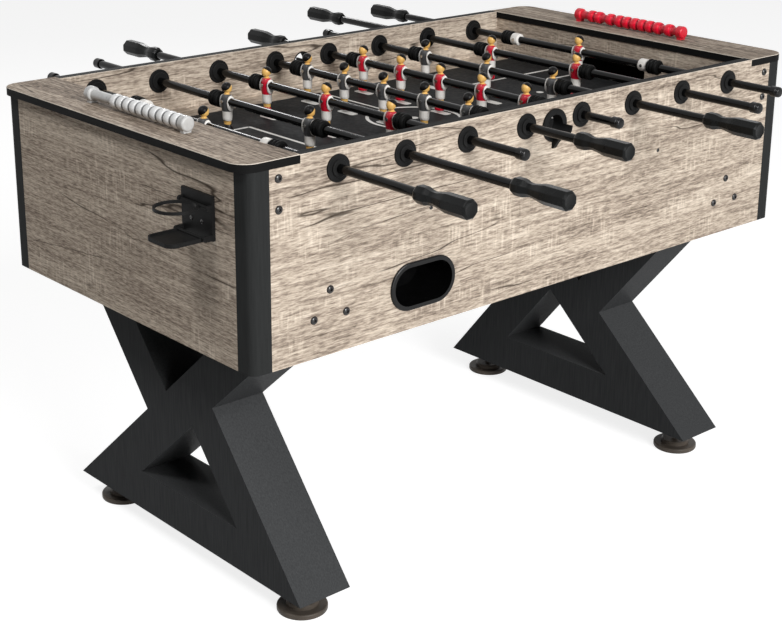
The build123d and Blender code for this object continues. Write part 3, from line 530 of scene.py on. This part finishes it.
def counter_rail():
    """Moulded counter rails: silver-grey at the left end and red at the right end, each with a soft gloss."""
    finish, tree, shader = new_finish("moulded_counter_rails")
    where = add(tree, "ShaderNodeTexCoord").outputs["Object"]
    end = add(tree, "ShaderNodeSeparateXYZ", {"Vector": where}).outputs["X"]
    right = add(tree, "ShaderNodeMath", {0: end, 1: 0.0}, operation="GREATER_THAN")
    # Mottle 11 mm across
    mottle = add(tree, "ShaderNodeTexNoise", {"Vector": where, "Scale": 90.0, "Detail": 3.0})
    silver = add(
        tree, "ShaderNodeMix",
        {"Factor": mottle.outputs[0], "A": paint("#a9a9a8"), "B": paint("#d5d5d3")}, data_type="RGBA",
    )
    tone = add(
        tree, "ShaderNodeMix",
        {"Factor": right.outputs[0], "A": silver.outputs[2], "B": paint("#d8152f")}, data_type="RGBA",
    )
    tree.links.new(tone.outputs[2], shader.inputs["Base Color"])
    sheen = add(
        tree, "ShaderNodeMapRange",
        {"Value": mottle.outputs[0], "From Min": 0.3, "From Max": 0.7, "To Min": 0.25, "To Max": 0.4},
    )
    tree.links.new(sheen.outputs[0], shader.inputs["Roughness"])
    return finish


def bare_timber(name, light, dark):
    """Bare sawn timber or board under the playfield: dull, with streaks 4 mm across along the table."""
    finish, tree, shader = new_finish(name)
    where = add(tree, "ShaderNodeTexCoord").outputs["Object"]
    stretch = add(tree, "ShaderNodeMapping", {"Vector": where, "Scale": (8.0, 250.0, 250.0)})
    streak = add(tree, "ShaderNodeTexNoise", {"Vector": stretch.outputs[0], "Scale": 1.0, "Detail": 3.0})
    tone = add(
        tree, "ShaderNodeMix",
        {"Factor": streak.outputs[0], "A": paint(dark), "B": paint(light)}, data_type="RGBA",
    )
    tree.links.new(tone.outputs[2], shader.inputs["Base Color"])
    bump = add(tree, "ShaderNodeBump", {"Height": streak.outputs[0], "Strength": 0.3, "Distance": 0.4 * MM})
    tree.links.new(bump.outputs[0], shader.inputs["Normal"])
    shader.inputs["Roughness"].default_value = 0.8
    return finish


side_laminate = oak_laminate("oak_laminate_sides", "X", "flat")
end_laminate = oak_laminate("oak_laminate_ends", "Y", "none", contrast=1.1, backed=True)
wall_laminate = oak_laminate("oak_laminate_goal_walls", "Y", "none")
# The lying boards' print is darkened as painted shade, standing in for the lesser light on their tops
board_laminate = oak_laminate("oak_laminate_boards", "Y", "upright", painted_shade=0.10)
border_print = oak_laminate("oak_printed_border", "X", "none")
leg_foil = black_woodgrain("black_woodgrain_leg_foil", "#323334", "#4c4d4e", 0.01)
post_foil = black_woodgrain("black_post_foil", "#262727", "#343535", 0.02)
field_print = printed_field()

# ABS, spark-eroded mould: matt black with a fine grit
black_abs = moulded("moulded_black_abs", "#252525", "#161616", 0.42, 1.2, gloss=0.05)
# Polypropylene grip: black, a little oily in its sheen
grip_black = moulded("moulded_grip_polypropylene", "#161717", "#0c0d0d", 0.28, 1.6, gloss=0.12, depth=0.12)
# Polished ABS of the ball return: black with a clear gloss
gloss_black = moulded("polished_black_abs", "#0d0d0e", "#070707", 0.2, 2.5, gloss=0.25, depth=0.06)
# Natural rubber: deep black and dull
black_rubber = moulded("moulded_rubber", "#151515", "#0b0b0b", 0.5, 1.0, gloss=0.06)
# Blackened and oiled steel of bolts and screws: near black, with a bright glint on the dome
dark_steel = moulded("blackened_steel", "#1d1b1a", "#0e0d0c", 0.2, 2.5, gloss=0.5, depth=0.1)
# Powder-coated steel of the brackets: black with a pebbled, half-matt skin
coated_steel = moulded("black_powder_coat", "#222222", "#141414", 0.55, 0.8, gloss=0.4, depth=0.4)
# Recycled polyethylene feet: umber grey, mottled, with a soft sheen
foot_finish = moulded("moulded_umber_polyethylene", "#645b52", "#35302b", 0.45, 1.4, gloss=0.2)
# Polystyrene counter beads: silvery white and clear red, both glossy
silver_beads = moulded("moulded_silver_polystyrene", "#f4f4f3", "#dedfdf", 0.22, 3.0, gloss=0.5, depth=0.1)
red_beads = moulded("moulded_red_polystyrene", "#fb0f38", "#ea0a30", 0.22, 3.0, gloss=0.4, depth=0.1)
# Their ends and bore are duller and painted darker, as painted shadow in the grooves between the beads, so
# that each bead stands apart from the next
silver_ends_painted_shadow = moulded("silver_polystyrene_painted_groove_shadow", "#8e8f90", "#747576", 0.4, 3.0, gloss=0.3, depth=0.1)
red_ends_painted_shadow = moulded("red_polystyrene_painted_groove_shadow", "#c0082a", "#a30522", 0.4, 3.0, gloss=0.3, depth=0.1)
# Enamel paint on the men: thick, glossy and a little uneven
hair_paint = moulded("enamel_black_hair", "#141212", "#0b0a0a", 0.35, 1.0, gloss=0.12, depth=0.3)
skin_paint = moulded("enamel_tan_skin", "#f3c877", "#e2ab58", 0.38, 1.2, gloss=0.45)
white_paint = moulded("enamel_white", "#f6f3ee", "#e6e1da", 0.35, 1.2, gloss=0.45)
crimson_paint = moulded("enamel_crimson", "#d0142f", "#a80d24", 0.28, 1.2, gloss=0.5)
charcoal_paint = moulded("enamel_charcoal", "#565657", "#353536", 0.3, 1.2, gloss=0.3)
black_paint = moulded("enamel_black_shoes", "#1d1c1c", "#111010", 0.35, 1.2, gloss=0.45)
# Screen-printed line ink: chalky white, slightly raised
line_ink = moulded("screen_printed_white_ink", "#f4f2ee", "#e4e1db", 0.5, 1.0, gloss=0.3)
pine_timber = bare_timber("bare_pine_batten", "#d9b98a", "#b8935f")
black_board = bare_timber("stained_hardboard", "#1f1d1b", "#121110")
rail_finish = counter_rail()

table_finishes = {
    "side_panels": side_laminate,
    "end_panels": end_laminate,
    "goal_walls": wall_laminate,
    "end_tops": board_laminate,
    "playfield": field_print,
    "playfield_cleats": pine_timber,
    "ball_runways": black_board,
    "corner_brackets": coated_steel,
    "ball_return_trays": gloss_black,
    "score_rails": rail_finish,
    "corner_posts": post_foil,
    "leg_long_diagonals": leg_foil,
    "leg_short_beams": leg_foil,
    "rod_bushings": black_abs,
    "bushing_nuts": black_abs,
    "serve_cups": black_abs,
    "cup_holder_plates": black_abs,
}
for node, finish in table_finishes.items():
    dress(parts[node], finish)
for end in ("left", "right"):
    dress(parts[f"{end}_cup_ring"], black_abs)
    dress(parts[f"{end}_cup_tray"], black_abs)
    for side in ("near", "far"):
        dress(parts[f"{end}_{side}_levelling_foot"], foot_finish)
for index, axis in enumerate(rod_axes):
    dress(parts[f"rod_{index + 1}"], enamelled_rod(f"black_enamel_rod_{index + 1}", axis.x))
    dress(parts[f"rod_{index + 1}_bumpers"], black_rubber)


# Men


def figure(name, jersey, shoes):
    """One player round a rod along Y through the origin, facing +X: body, arms, head and hair."""
    # From the sole to the neck: height, half depth, half width and how far the section lies forward
    trunk = drawn_out(
        name, 16, "Z",
        [
            (-0.0618, 0.0090, 0.0084, 0.0015),
            (-0.0605, 0.0108, 0.0098, 0.0015),
            (-0.0550, 0.0110, 0.0104, 0.0015),
            (-0.0500, 0.0086, 0.0098, 0.0006),
            (-0.0462, 0.0070, 0.0090, 0.0),
            (-0.0458, 0.0060, 0.0086, 0.0),
            (-0.0400, 0.0062, 0.0088, 0.0),
            (-0.0376, 0.0064, 0.0090, 0.0),
            (-0.0372, 0.0088, 0.0108, 0.0),
            (-0.0300, 0.0092, 0.0112, 0.0),
            (-0.0215, 0.0092, 0.0110, 0.0),
            (-0.0206, 0.0098, 0.0114, 0.0),
            (-0.0100, 0.0112, 0.0122, 0.0),
            (0.0, 0.0115, 0.0124, 0.0),
            (0.0070, 0.0108, 0.0122, 0.0),
            (0.0118, 0.0088, 0.0104, 0.0),
            (0.0140, 0.0060, 0.0070, 0.0),
            (0.0150, 0.0050, 0.0050, 0.0),
            (0.0180, 0.0048, 0.0048, 0.0),
        ],
    )
    for finish in (jersey, shoes, skin_paint, white_paint, hair_paint):
        trunk.data.materials.append(finish)
    # Upper limit of each paint zone and its slot: shoes, legs, shorts, jersey and neck
    zones = ((-0.0460, 1), (-0.0374, 2), (-0.0210, 3), (0.0130, 0), (math.inf, 2))
    for face in trunk.data.polygons:
        face.material_index = next(slot for limit, slot in zones if face.center.z < limit)
    subdivided(trunk)
    arms = []
    for hand in (-1, 1):
        # The arm hangs down beside the jersey, round the place where the rod goes in
        arm = drawn_out(
            "arm", 16, "Y",
            [
                (hand * 0.0090, 0.0084, 0.0150, -0.0030),
                (hand * 0.0120, 0.0092, 0.0158, -0.0030),
                (hand * 0.0142, 0.0084, 0.0146, -0.0030),
                (hand * 0.0149, 0.0070, 0.0126, -0.0030),
            ],
        )
        dress(arm, white_paint)
        arms.append(subdivided(arm))
    head_middle = (0.0008, 0, 0.0258)
    bpy.ops.mesh.primitive_uv_sphere_add(segments=20, ring_count=12, radius=0.0098, location=head_middle)
    head = named("head")
    bpy.ops.object.mode_set(mode="EDIT")
    bpy.ops.mesh.select_all(action="SELECT")
    bpy.ops.transform.resize(value=(0.98, 0.92, 1.02), center_override=head_middle)
    bpy.ops.object.mode_set(mode="OBJECT")
    # The chin comes a little forward
    edit_faces(head, lambda face: face.center.z < 0.0215 and face.center.x > 0)
    bpy.ops.transform.translate(value=(0.0008, 0, -0.0004))
    bpy.ops.object.mode_set(mode="OBJECT")
    dress(head, skin_paint)
    # The hair is a larger ball, cut away over the face
    bpy.ops.mesh.primitive_uv_sphere_add(segments=20, ring_count=12, radius=0.0105, location=(0, 0, 0.0260))
    hair = named("hair")
    bpy.ops.object.mode_set(mode="EDIT")
    bpy.ops.mesh.select_all(action="SELECT")
    bpy.ops.mesh.bisect(
        plane_co=(0.0020, 0, 0.0292), plane_no=(0.62, 0, -0.78), use_fill=True, clear_outer=True
    )
    bpy.ops.object.mode_set(mode="OBJECT")
    dress(hair, hair_paint)
    return smooth(joined(name, trunk, head, hair, *arms), 50)


def stop_collar():
    """White stop collar round a goalkeeper rod along Y, with a flat for its screw on the -X side."""
    radius, length, rounding, flat = 0.0135, 0.022, 0.0032, 0.0126
    bpy.ops.mesh.primitive_cylinder_add(
        vertices=40, radius=radius, depth=length, rotation=(math.pi / 2, 0, 0)
    )
    collar = named("stop_collar")
    edit_edges(collar, lambda a, b: abs(a.y - b.y) < 1e-6 and abs(abs(a.y) - length / 2) < 1e-5)
    bpy.ops.mesh.bevel(offset=rounding, segments=4, affect="EDGES")
    bpy.ops.mesh.select_all(action="SELECT")
    bpy.ops.mesh.bisect(plane_co=(-flat, 0, 0), plane_no=(-1, 0, 0), use_fill=True, clear_outer=True)
    bpy.ops.object.mode_set(mode="OBJECT")
    dress(collar, white_paint)
    return smooth(closed(collar), 30)


dark_man = figure("dark_man", charcoal_paint, black_paint)
red_man = figure("red_man", crimson_paint, crimson_paint)
collar = stop_collar()
for index, axis in enumerate(rod_axes):
    men, collars, near_handle = rod_kinds[index]
    man = dark_man if near_handle else red_man
    facing = Matrix.Identity(4) if near_handle else Matrix.Rotation(math.pi, 4, "Z")
    team = [copied(man, Matrix.Translation(axis + Vector((0, place * MM, 0))) @ facing) for place in men]
    team += [copied(collar, Matrix.Translation(axis + Vector((0, place * MM, 0)))) for place in collars]
    team = joined(f"rod_{index + 1}_painted_men", *team)
    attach(team, f"rod_{index + 1}_spinner")
    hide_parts(f"rod_{index + 1}_men")
removed(dark_man, red_man, collar)


# Handles and end caps


def faceted_grip():
    """Eight-sided grip along Y with its tip at the origin: collar, neck, swelling grip and chamfered end."""
    # Half widths across the flats; the corners of an octagon lie further out
    corner = 1 / math.cos(math.pi / 8)
    profile = [
        (0.1200, 0.0110), (0.1165, 0.0134), (0.1140, 0.0145), (0.0990, 0.0145), (0.0950, 0.0138),
        (0.0870, 0.0116), (0.0815, 0.0110), (0.0760, 0.0113), (0.0630, 0.0136), (0.0560, 0.0149),
        (0.0500, 0.0156), (0.0034, 0.0156), (0.0, 0.0126),
    ]
    grip = turned("grip", 8, [(y, size * corner) for y, size in profile])
    # The end face has a shallow dish
    edit_faces(grip, lambda face: face.normal.y < -0.99)
    bpy.ops.mesh.inset(thickness=0.0014, depth=0.0)
    bpy.ops.mesh.inset(thickness=0.0008, depth=-0.0005)
    bpy.ops.object.mode_set(mode="OBJECT")
    edges = grip.modifiers.new("edges", "BEVEL")
    edges.width = 0.0006
    edges.segments = 1
    edges.limit_method = "ANGLE"
    edges.angle_limit = math.radians(20)
    work_on(grip)
    bpy.ops.object.modifier_apply(modifier=edges.name)
    dress(grip, grip_black)
    return smooth(closed(grip), 18)


def rod_cap():
    """Rounded cap along Y with its end at the origin and a fine groove behind the dome."""
    profile = [
        (-0.0200, 0.0100), (-0.0195, 0.0105), (-0.0078, 0.0105), (-0.0074, 0.0100), (-0.0066, 0.0100),
        (-0.0062, 0.0105), (-0.0036, 0.0104), (-0.0016, 0.0094), (-0.0004, 0.0078), (0.0, 0.0058),
    ]
    cap = turned("cap", 32, profile)
    dress(cap, gloss_black)
    return smooth(cap, 40)


grip = faceted_grip()
cap = rod_cap()
for index, axis in enumerate(rod_axes):
    low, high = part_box(f"rod_{index + 1}_handle")
    near_handle = rod_kinds[index][2]
    across = Matrix.Identity(4) if near_handle else Matrix.Scale(-1, 4, (0, 1, 0))
    tip, end = (low.y, high.y) if near_handle else (high.y, low.y)
    ends = joined(
        f"rod_{index + 1}_grip_and_cap",
        copied(grip, Matrix.Translation((axis.x, tip, axis.z)) @ across),
        copied(cap, Matrix.Translation((axis.x, end, axis.z)) @ across),
    )
    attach(ends, f"rod_{index + 1}_spinner")
    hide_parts(f"rod_{index + 1}_handle")
removed(grip, cap)


# Bolts, screws and counter beads


def socketed(piece, sides, radius, depth, turn):
    """Cut a straight socket or bore into the end of a piece that faces -Y."""
    crown = min(corner[1] for corner in piece.bound_box)
    bpy.ops.mesh.primitive_cylinder_add(
        vertices=sides, radius=radius, depth=2 * depth,
        location=(0, crown, 0), rotation=(math.pi / 2, turn, 0),
    )
    cutter = named("socket")
    socket = piece.modifiers.new("socket", "BOOLEAN")
    socket.operation = "DIFFERENCE"
    socket.object = cutter
    work_on(piece)
    bpy.ops.object.modifier_apply(modifier=socket.name)
    removed(cutter)
    return piece


def dome_bolt():
    """Button-head bolt whose head starts at the XZ plane and crowns towards -Y, with a hexagon socket."""
    profile = [
        (0.0100, 0.0040), (0.0, 0.0040), (-0.0001, 0.0072), (-0.0006, 0.0075), (-0.0012, 0.0074),
        (-0.0022, 0.0067), (-0.0031, 0.0055), (-0.0037, 0.0042), (-0.0039, 0.0034),
    ]
    bolt = turned("dome_bolt", 24, profile)
    dress(bolt, dark_steel)
    return smooth(socketed(bolt, sides=6, radius=0.0028, depth=0.0022, turn=0.0), 40)


def pan_screw():
    """Small pan-head screw towards -Y with a square socket."""
    profile = [
        (0.0080, 0.0022), (0.0, 0.0022), (-0.0001, 0.0040), (-0.0008, 0.0039), (-0.0013, 0.0033),
        (-0.0015, 0.0024),
    ]
    screw = turned("pan_screw", 16, profile)
    dress(screw, dark_steel)
    return smooth(socketed(screw, sides=4, radius=0.0014, depth=0.0009, turn=math.pi / 4), 40)


def barrel_bead():
    """Counter bead along Y from the origin: a bored barrel that narrows at both ends."""
    profile = [
        (0.0, 0.0095), (0.0005, 0.0103), (0.0022, 0.0119), (0.0046, 0.0130), (0.0078, 0.0135),
        (0.0132, 0.0135), (0.0164, 0.0130), (0.0188, 0.0119), (0.0205, 0.0103), (0.0210, 0.0095),
    ]
    bead = turned("barrel_bead", 32, profile)
    socketed(bead, sides=32, radius=0.0094, depth=0.022, turn=0.0)
    bead.data.materials.append(silver_beads)
    bead.data.materials.append(silver_ends_painted_shadow)
    # The ends and the bore are the faces near the axis; they take the darker finish, painted shadow in the
    # grooves between beads
    end_radius = 0.0118
    for face in bead.data.polygons:
        face.material_index = int(math.hypot(face.center.x, face.center.z) < end_radius)
    return smooth(bead, 50)


# Places on the near side in millimetres: corner bolts, leg bolts and the screws of the battens. Those of the
# cup holder's plate, which is 6 mm thick, are on the left end. A half turn gives the other side and end.
side_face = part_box("side_panels")[0].y
plate_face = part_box("end_panels")[0].x - 6 * MM
corner_bolts = [(x, z) for x in (-637, 637) for z in (797, 849)]
leg_bolts = [(end + x, z) for end in (-532, 532) for x, z in ((0, 639), (-35, 592), (35, 592))]
batten_screws = [(-305, 737), (305, 737)]
plate_screws = [(-259, 762), (-229, 762)]
bolt = dome_bolt()
screw = pan_screw()
centre = Vector((0, middle_y, 0))
half_turn = Matrix.Translation(centre) @ Matrix.Rotation(math.pi, 4, "Z") @ Matrix.Translation(-centre)
quarter_turn = Matrix.Rotation(-math.pi / 2, 4, "Z")
heads = []
for turn in (Matrix.Identity(4), half_turn):
    for x, z in corner_bolts + leg_bolts:
        heads.append(copied(bolt, turn @ Matrix.Translation((x * MM, side_face, z * MM))))
    for x, z in batten_screws:
        heads.append(copied(screw, turn @ Matrix.Translation((x * MM, side_face, z * MM))))
    for y, z in plate_screws:
        place = Matrix.Translation((plate_face, middle_y + y * MM, z * MM))
        heads.append(copied(screw, turn @ place @ quarter_turn))
bolt_heads = joined("socketed_bolts_and_screws", *heads)
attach(bolt_heads, "table")
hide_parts("bolts_and_screws")
removed(bolt, screw)

# Gaps after each bead in millimetres, from the near end
bead_length = 21
bead = barrel_bead()
counters = (
    ("left", (silver_beads, silver_ends_painted_shadow), (0, 0, 0, 0, 0, 0, 0, 0, 0, 0)),
    ("right", (red_beads, red_ends_painted_shadow), (10, 2, 1, 0, 2, 1, 6, 13, 0, 0)),
)
for end, finishes, gaps in counters:
    low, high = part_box(f"{end}_score_beads")
    place = Vector(((low.x + high.x) / 2, low.y, (low.z + high.z) / 2))
    row = []
    for gap in gaps:
        row.append(copied(bead, Matrix.Translation(place)))
        place.y += (bead_length + gap) * MM
    row = joined(f"{end}_barrel_beads", *row)
    # The second finish darkens the bead ends as painted shadow in the grooves between beads
    for i, finish in enumerate(finishes):
        row.data.materials[i] = finish
    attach(row, f"{end}_score_beads")
    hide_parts(f"{end}_score_beads")
removed(bead)


# Print on the playfield


ink = 0.3 * MM


def ink_bar(x, y, length_x, length_y, round_mm):
    """A rounded bar of ink lying on the playfield, placed from the middle of the table in millimetres."""
    bpy.ops.mesh.primitive_cube_add(size=1, location=(x * MM, middle_y + y * MM, field_top + ink / 2))
    bpy.context.object.scale = (length_x * MM, length_y * MM, ink)
    bar = named("ink_bar")
    edit_edges(bar, lambda a, b: abs(a.z - b.z) > ink / 2)
    bpy.ops.mesh.bevel(offset=round_mm * MM, segments=4, affect="EDGES")
    bpy.ops.object.mode_set(mode="OBJECT")
    return bar


def ink_ring(radius, width):
    """A ring of ink round the middle of the playfield, in millimetres."""
    bpy.ops.mesh.primitive_circle_add(
        vertices=64, radius=radius * MM, fill_type="NGON", location=(0, middle_y, field_top)
    )
    ring = named("ink_ring")
    bpy.ops.object.mode_set(mode="EDIT")
    bpy.ops.mesh.select_all(action="SELECT")
    bpy.ops.mesh.inset(thickness=width * MM, depth=0.0)
    bpy.ops.mesh.delete(type="FACE")
    bpy.ops.mesh.select_all(action="SELECT")
    bpy.ops.mesh.extrude_region_move(TRANSFORM_OT_translate={"value": (0, 0, ink)})
    bpy.ops.object.mode_set(mode="OBJECT")
    return closed(ring)


# Centre ring, spot and line
marks = [ink_ring(98, 7), ink_bar(0, 0, 18, 18, 8.5), ink_bar(0, 199, 6, 192, 2), ink_bar(0, -199, 6, 192, 2)]
for end in (-1, 1):
    # Marks under the men of the five-man and three-man rods
    for rod_x, places in ((73.5, (-240, -120, 0, 120, 240)), (220.5, (-188, 0, 188))):
        for place in places:
            marks.append(ink_bar(end * rod_x, place, 19, 50, 7))
    # Front and spot of the penalty box, the sides of both boxes, and the front of the goal box
    marks.append(ink_bar(end * 300, 0, 7, 302, 2.5))
    marks.append(ink_bar(end * 367, 0, 16, 16, 7.5))
    for side in (-1, 1):
        marks.append(ink_bar(end * 446, side * 150, 290, 7, 2.5))
        marks.append(ink_bar(end * 527, side * 78, 130, 7, 2.5))
    marks.append(ink_bar(end * 463, 0, 7, 160, 2.5))
field_lines = joined("field_lines", *marks)
dress(field_lines, line_ink)
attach(field_lines, "table")

# A printed strip of oak along each long side, 0.5 mm short of the field's ends
border_length, border_width, border_middle = 2 * field_high.x - 1 * MM, 0.0615, 0.329
borders = []
for side in (-1, 1):
    bpy.ops.mesh.primitive_cube_add(size=1, location=(0, middle_y + side * border_middle, field_top + ink / 2))
    bpy.context.object.scale = (border_length, border_width, ink)
    border = named("field_border")
    edit_edges(border, lambda a, b: abs(a.z - b.z) < 1e-6 and a.z > field_top + 0.2 * MM)
    bpy.ops.mesh.bevel(offset=0.1 * MM, segments=1, affect="EDGES")
    bpy.ops.object.mode_set(mode="OBJECT")
    borders.append(border)
field_borders = joined("field_borders", *borders)
dress(field_borders, border_print)
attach(field_borders, "table")


# Stage: pale floor, soft light and the photograph's viewing angle


def seen(tree):
    """1 for rays from the camera, also by reflection or through glass, and 0 for rays that only give light."""
    path = add(tree, "ShaderNodeLightPath")
    direct = add(
        tree, "ShaderNodeMath",
        {0: path.outputs["Is Camera Ray"], 1: path.outputs["Is Glossy Ray"]}, operation="MAXIMUM",
    )
    either = add(
        tree, "ShaderNodeMath",
        {0: direct.outputs[0], 1: path.outputs["Is Transmission Ray"]}, operation="MAXIMUM",
    )
    return either.outputs[0]


def surroundings():
    """Pale floor that keeps the shadow, and a white background that gives little light of its own."""
    bpy.ops.mesh.primitive_plane_add(size=40, location=(0, 0, 0))
    floor = named("floor")
    ground, tree, shader = new_finish("pale_floor")
    shader.inputs["Base Color"].default_value = paint("#b4b4b4")
    shader.inputs["Roughness"].default_value = 0.9
    shader.inputs["Specular IOR Level"].default_value = 0.0
    glow = add(tree, "ShaderNodeMath", {0: seen(tree), 1: 0.82}, operation="MULTIPLY")
    shader.inputs["Emission Color"].default_value = paint("#ffffff")
    tree.links.new(glow.outputs[0], shader.inputs["Emission Strength"])
    dress(floor, ground)

    world = bpy.data.worlds.new("white_studio")
    bpy.context.scene.world = world
    world.use_nodes = True
    tree = world.node_tree
    strength = add(
        tree, "ShaderNodeMapRange",
        {"Value": seen(tree), "From Min": 0.0, "From Max": 1.0, "To Min": 0.08, "To Max": 1.0},
    )
    background = tree.nodes["Background"]
    background.inputs["Color"].default_value = paint("#ffffff")
    tree.links.new(strength.outputs[0], background.inputs["Strength"])


def lamps():
    """Square soft lamps: name, place, target, width in metres and power in watts."""
    for name, place, target, width, power in (
        ("front_softbox", (-1.1, -6.6, 3.6), (-0.1, -0.2, 0.7), 3.0, 515),
        ("low_softbox", (-0.3, -3.4, 0.2), (0.0, -0.3, 0.45), 1.4, 26),
        ("overhead_softbox", (-2.6, 0.0, 3.9), (-0.7, 0.0, 0.8), 0.9, 42),
        ("back_softbox", (1.6, 3.4, 2.8), (0.0, 0.0, 0.8), 0.5, 16),
    ):
        clear_selection()
        bpy.ops.object.light_add(type="AREA", location=place)
        lamp = bpy.context.object
        lamp.name = name
        lamp.data.shape = "SQUARE"
        lamp.data.size = width
        lamp.data.energy = power
        lamp.rotation_euler = (Vector(target) - Vector(place)).to_track_quat("-Z", "Y").to_euler()


def photo_view():
    """Camera fitted to the straight edges of the table in the photograph."""
    clear_selection()
    bpy.ops.object.camera_add(location=(-2.1354, -2.3337 + middle_y, 1.5398))
    camera = bpy.context.object
    camera.name = "photo_view"
    azimuth, down, roll = math.radians(-41.66), math.radians(18.22), math.radians(-0.45)
    level = math.cos(down)
    ahead = Vector((-math.sin(azimuth) * level, math.cos(azimuth) * level, -math.sin(down)))
    aim = ahead.to_track_quat("-Z", "Y").to_matrix().to_4x4() @ Matrix.Rotation(-roll, 4, "Z")
    camera.rotation_euler = aim.to_euler()
    # In pixels of the photograph; its middle lies below the camera's own axis
    photo_width, focal_length, below_axis = 782, 1612, 69
    camera.data.sensor_width = 36
    camera.data.lens = 36 * focal_length / photo_width
    camera.data.shift_y = -below_axis / photo_width
    bpy.context.scene.camera = camera


surroundings()
lamps()
photo_view()
bpy.context.scene.view_settings.view_transform = "Standard"
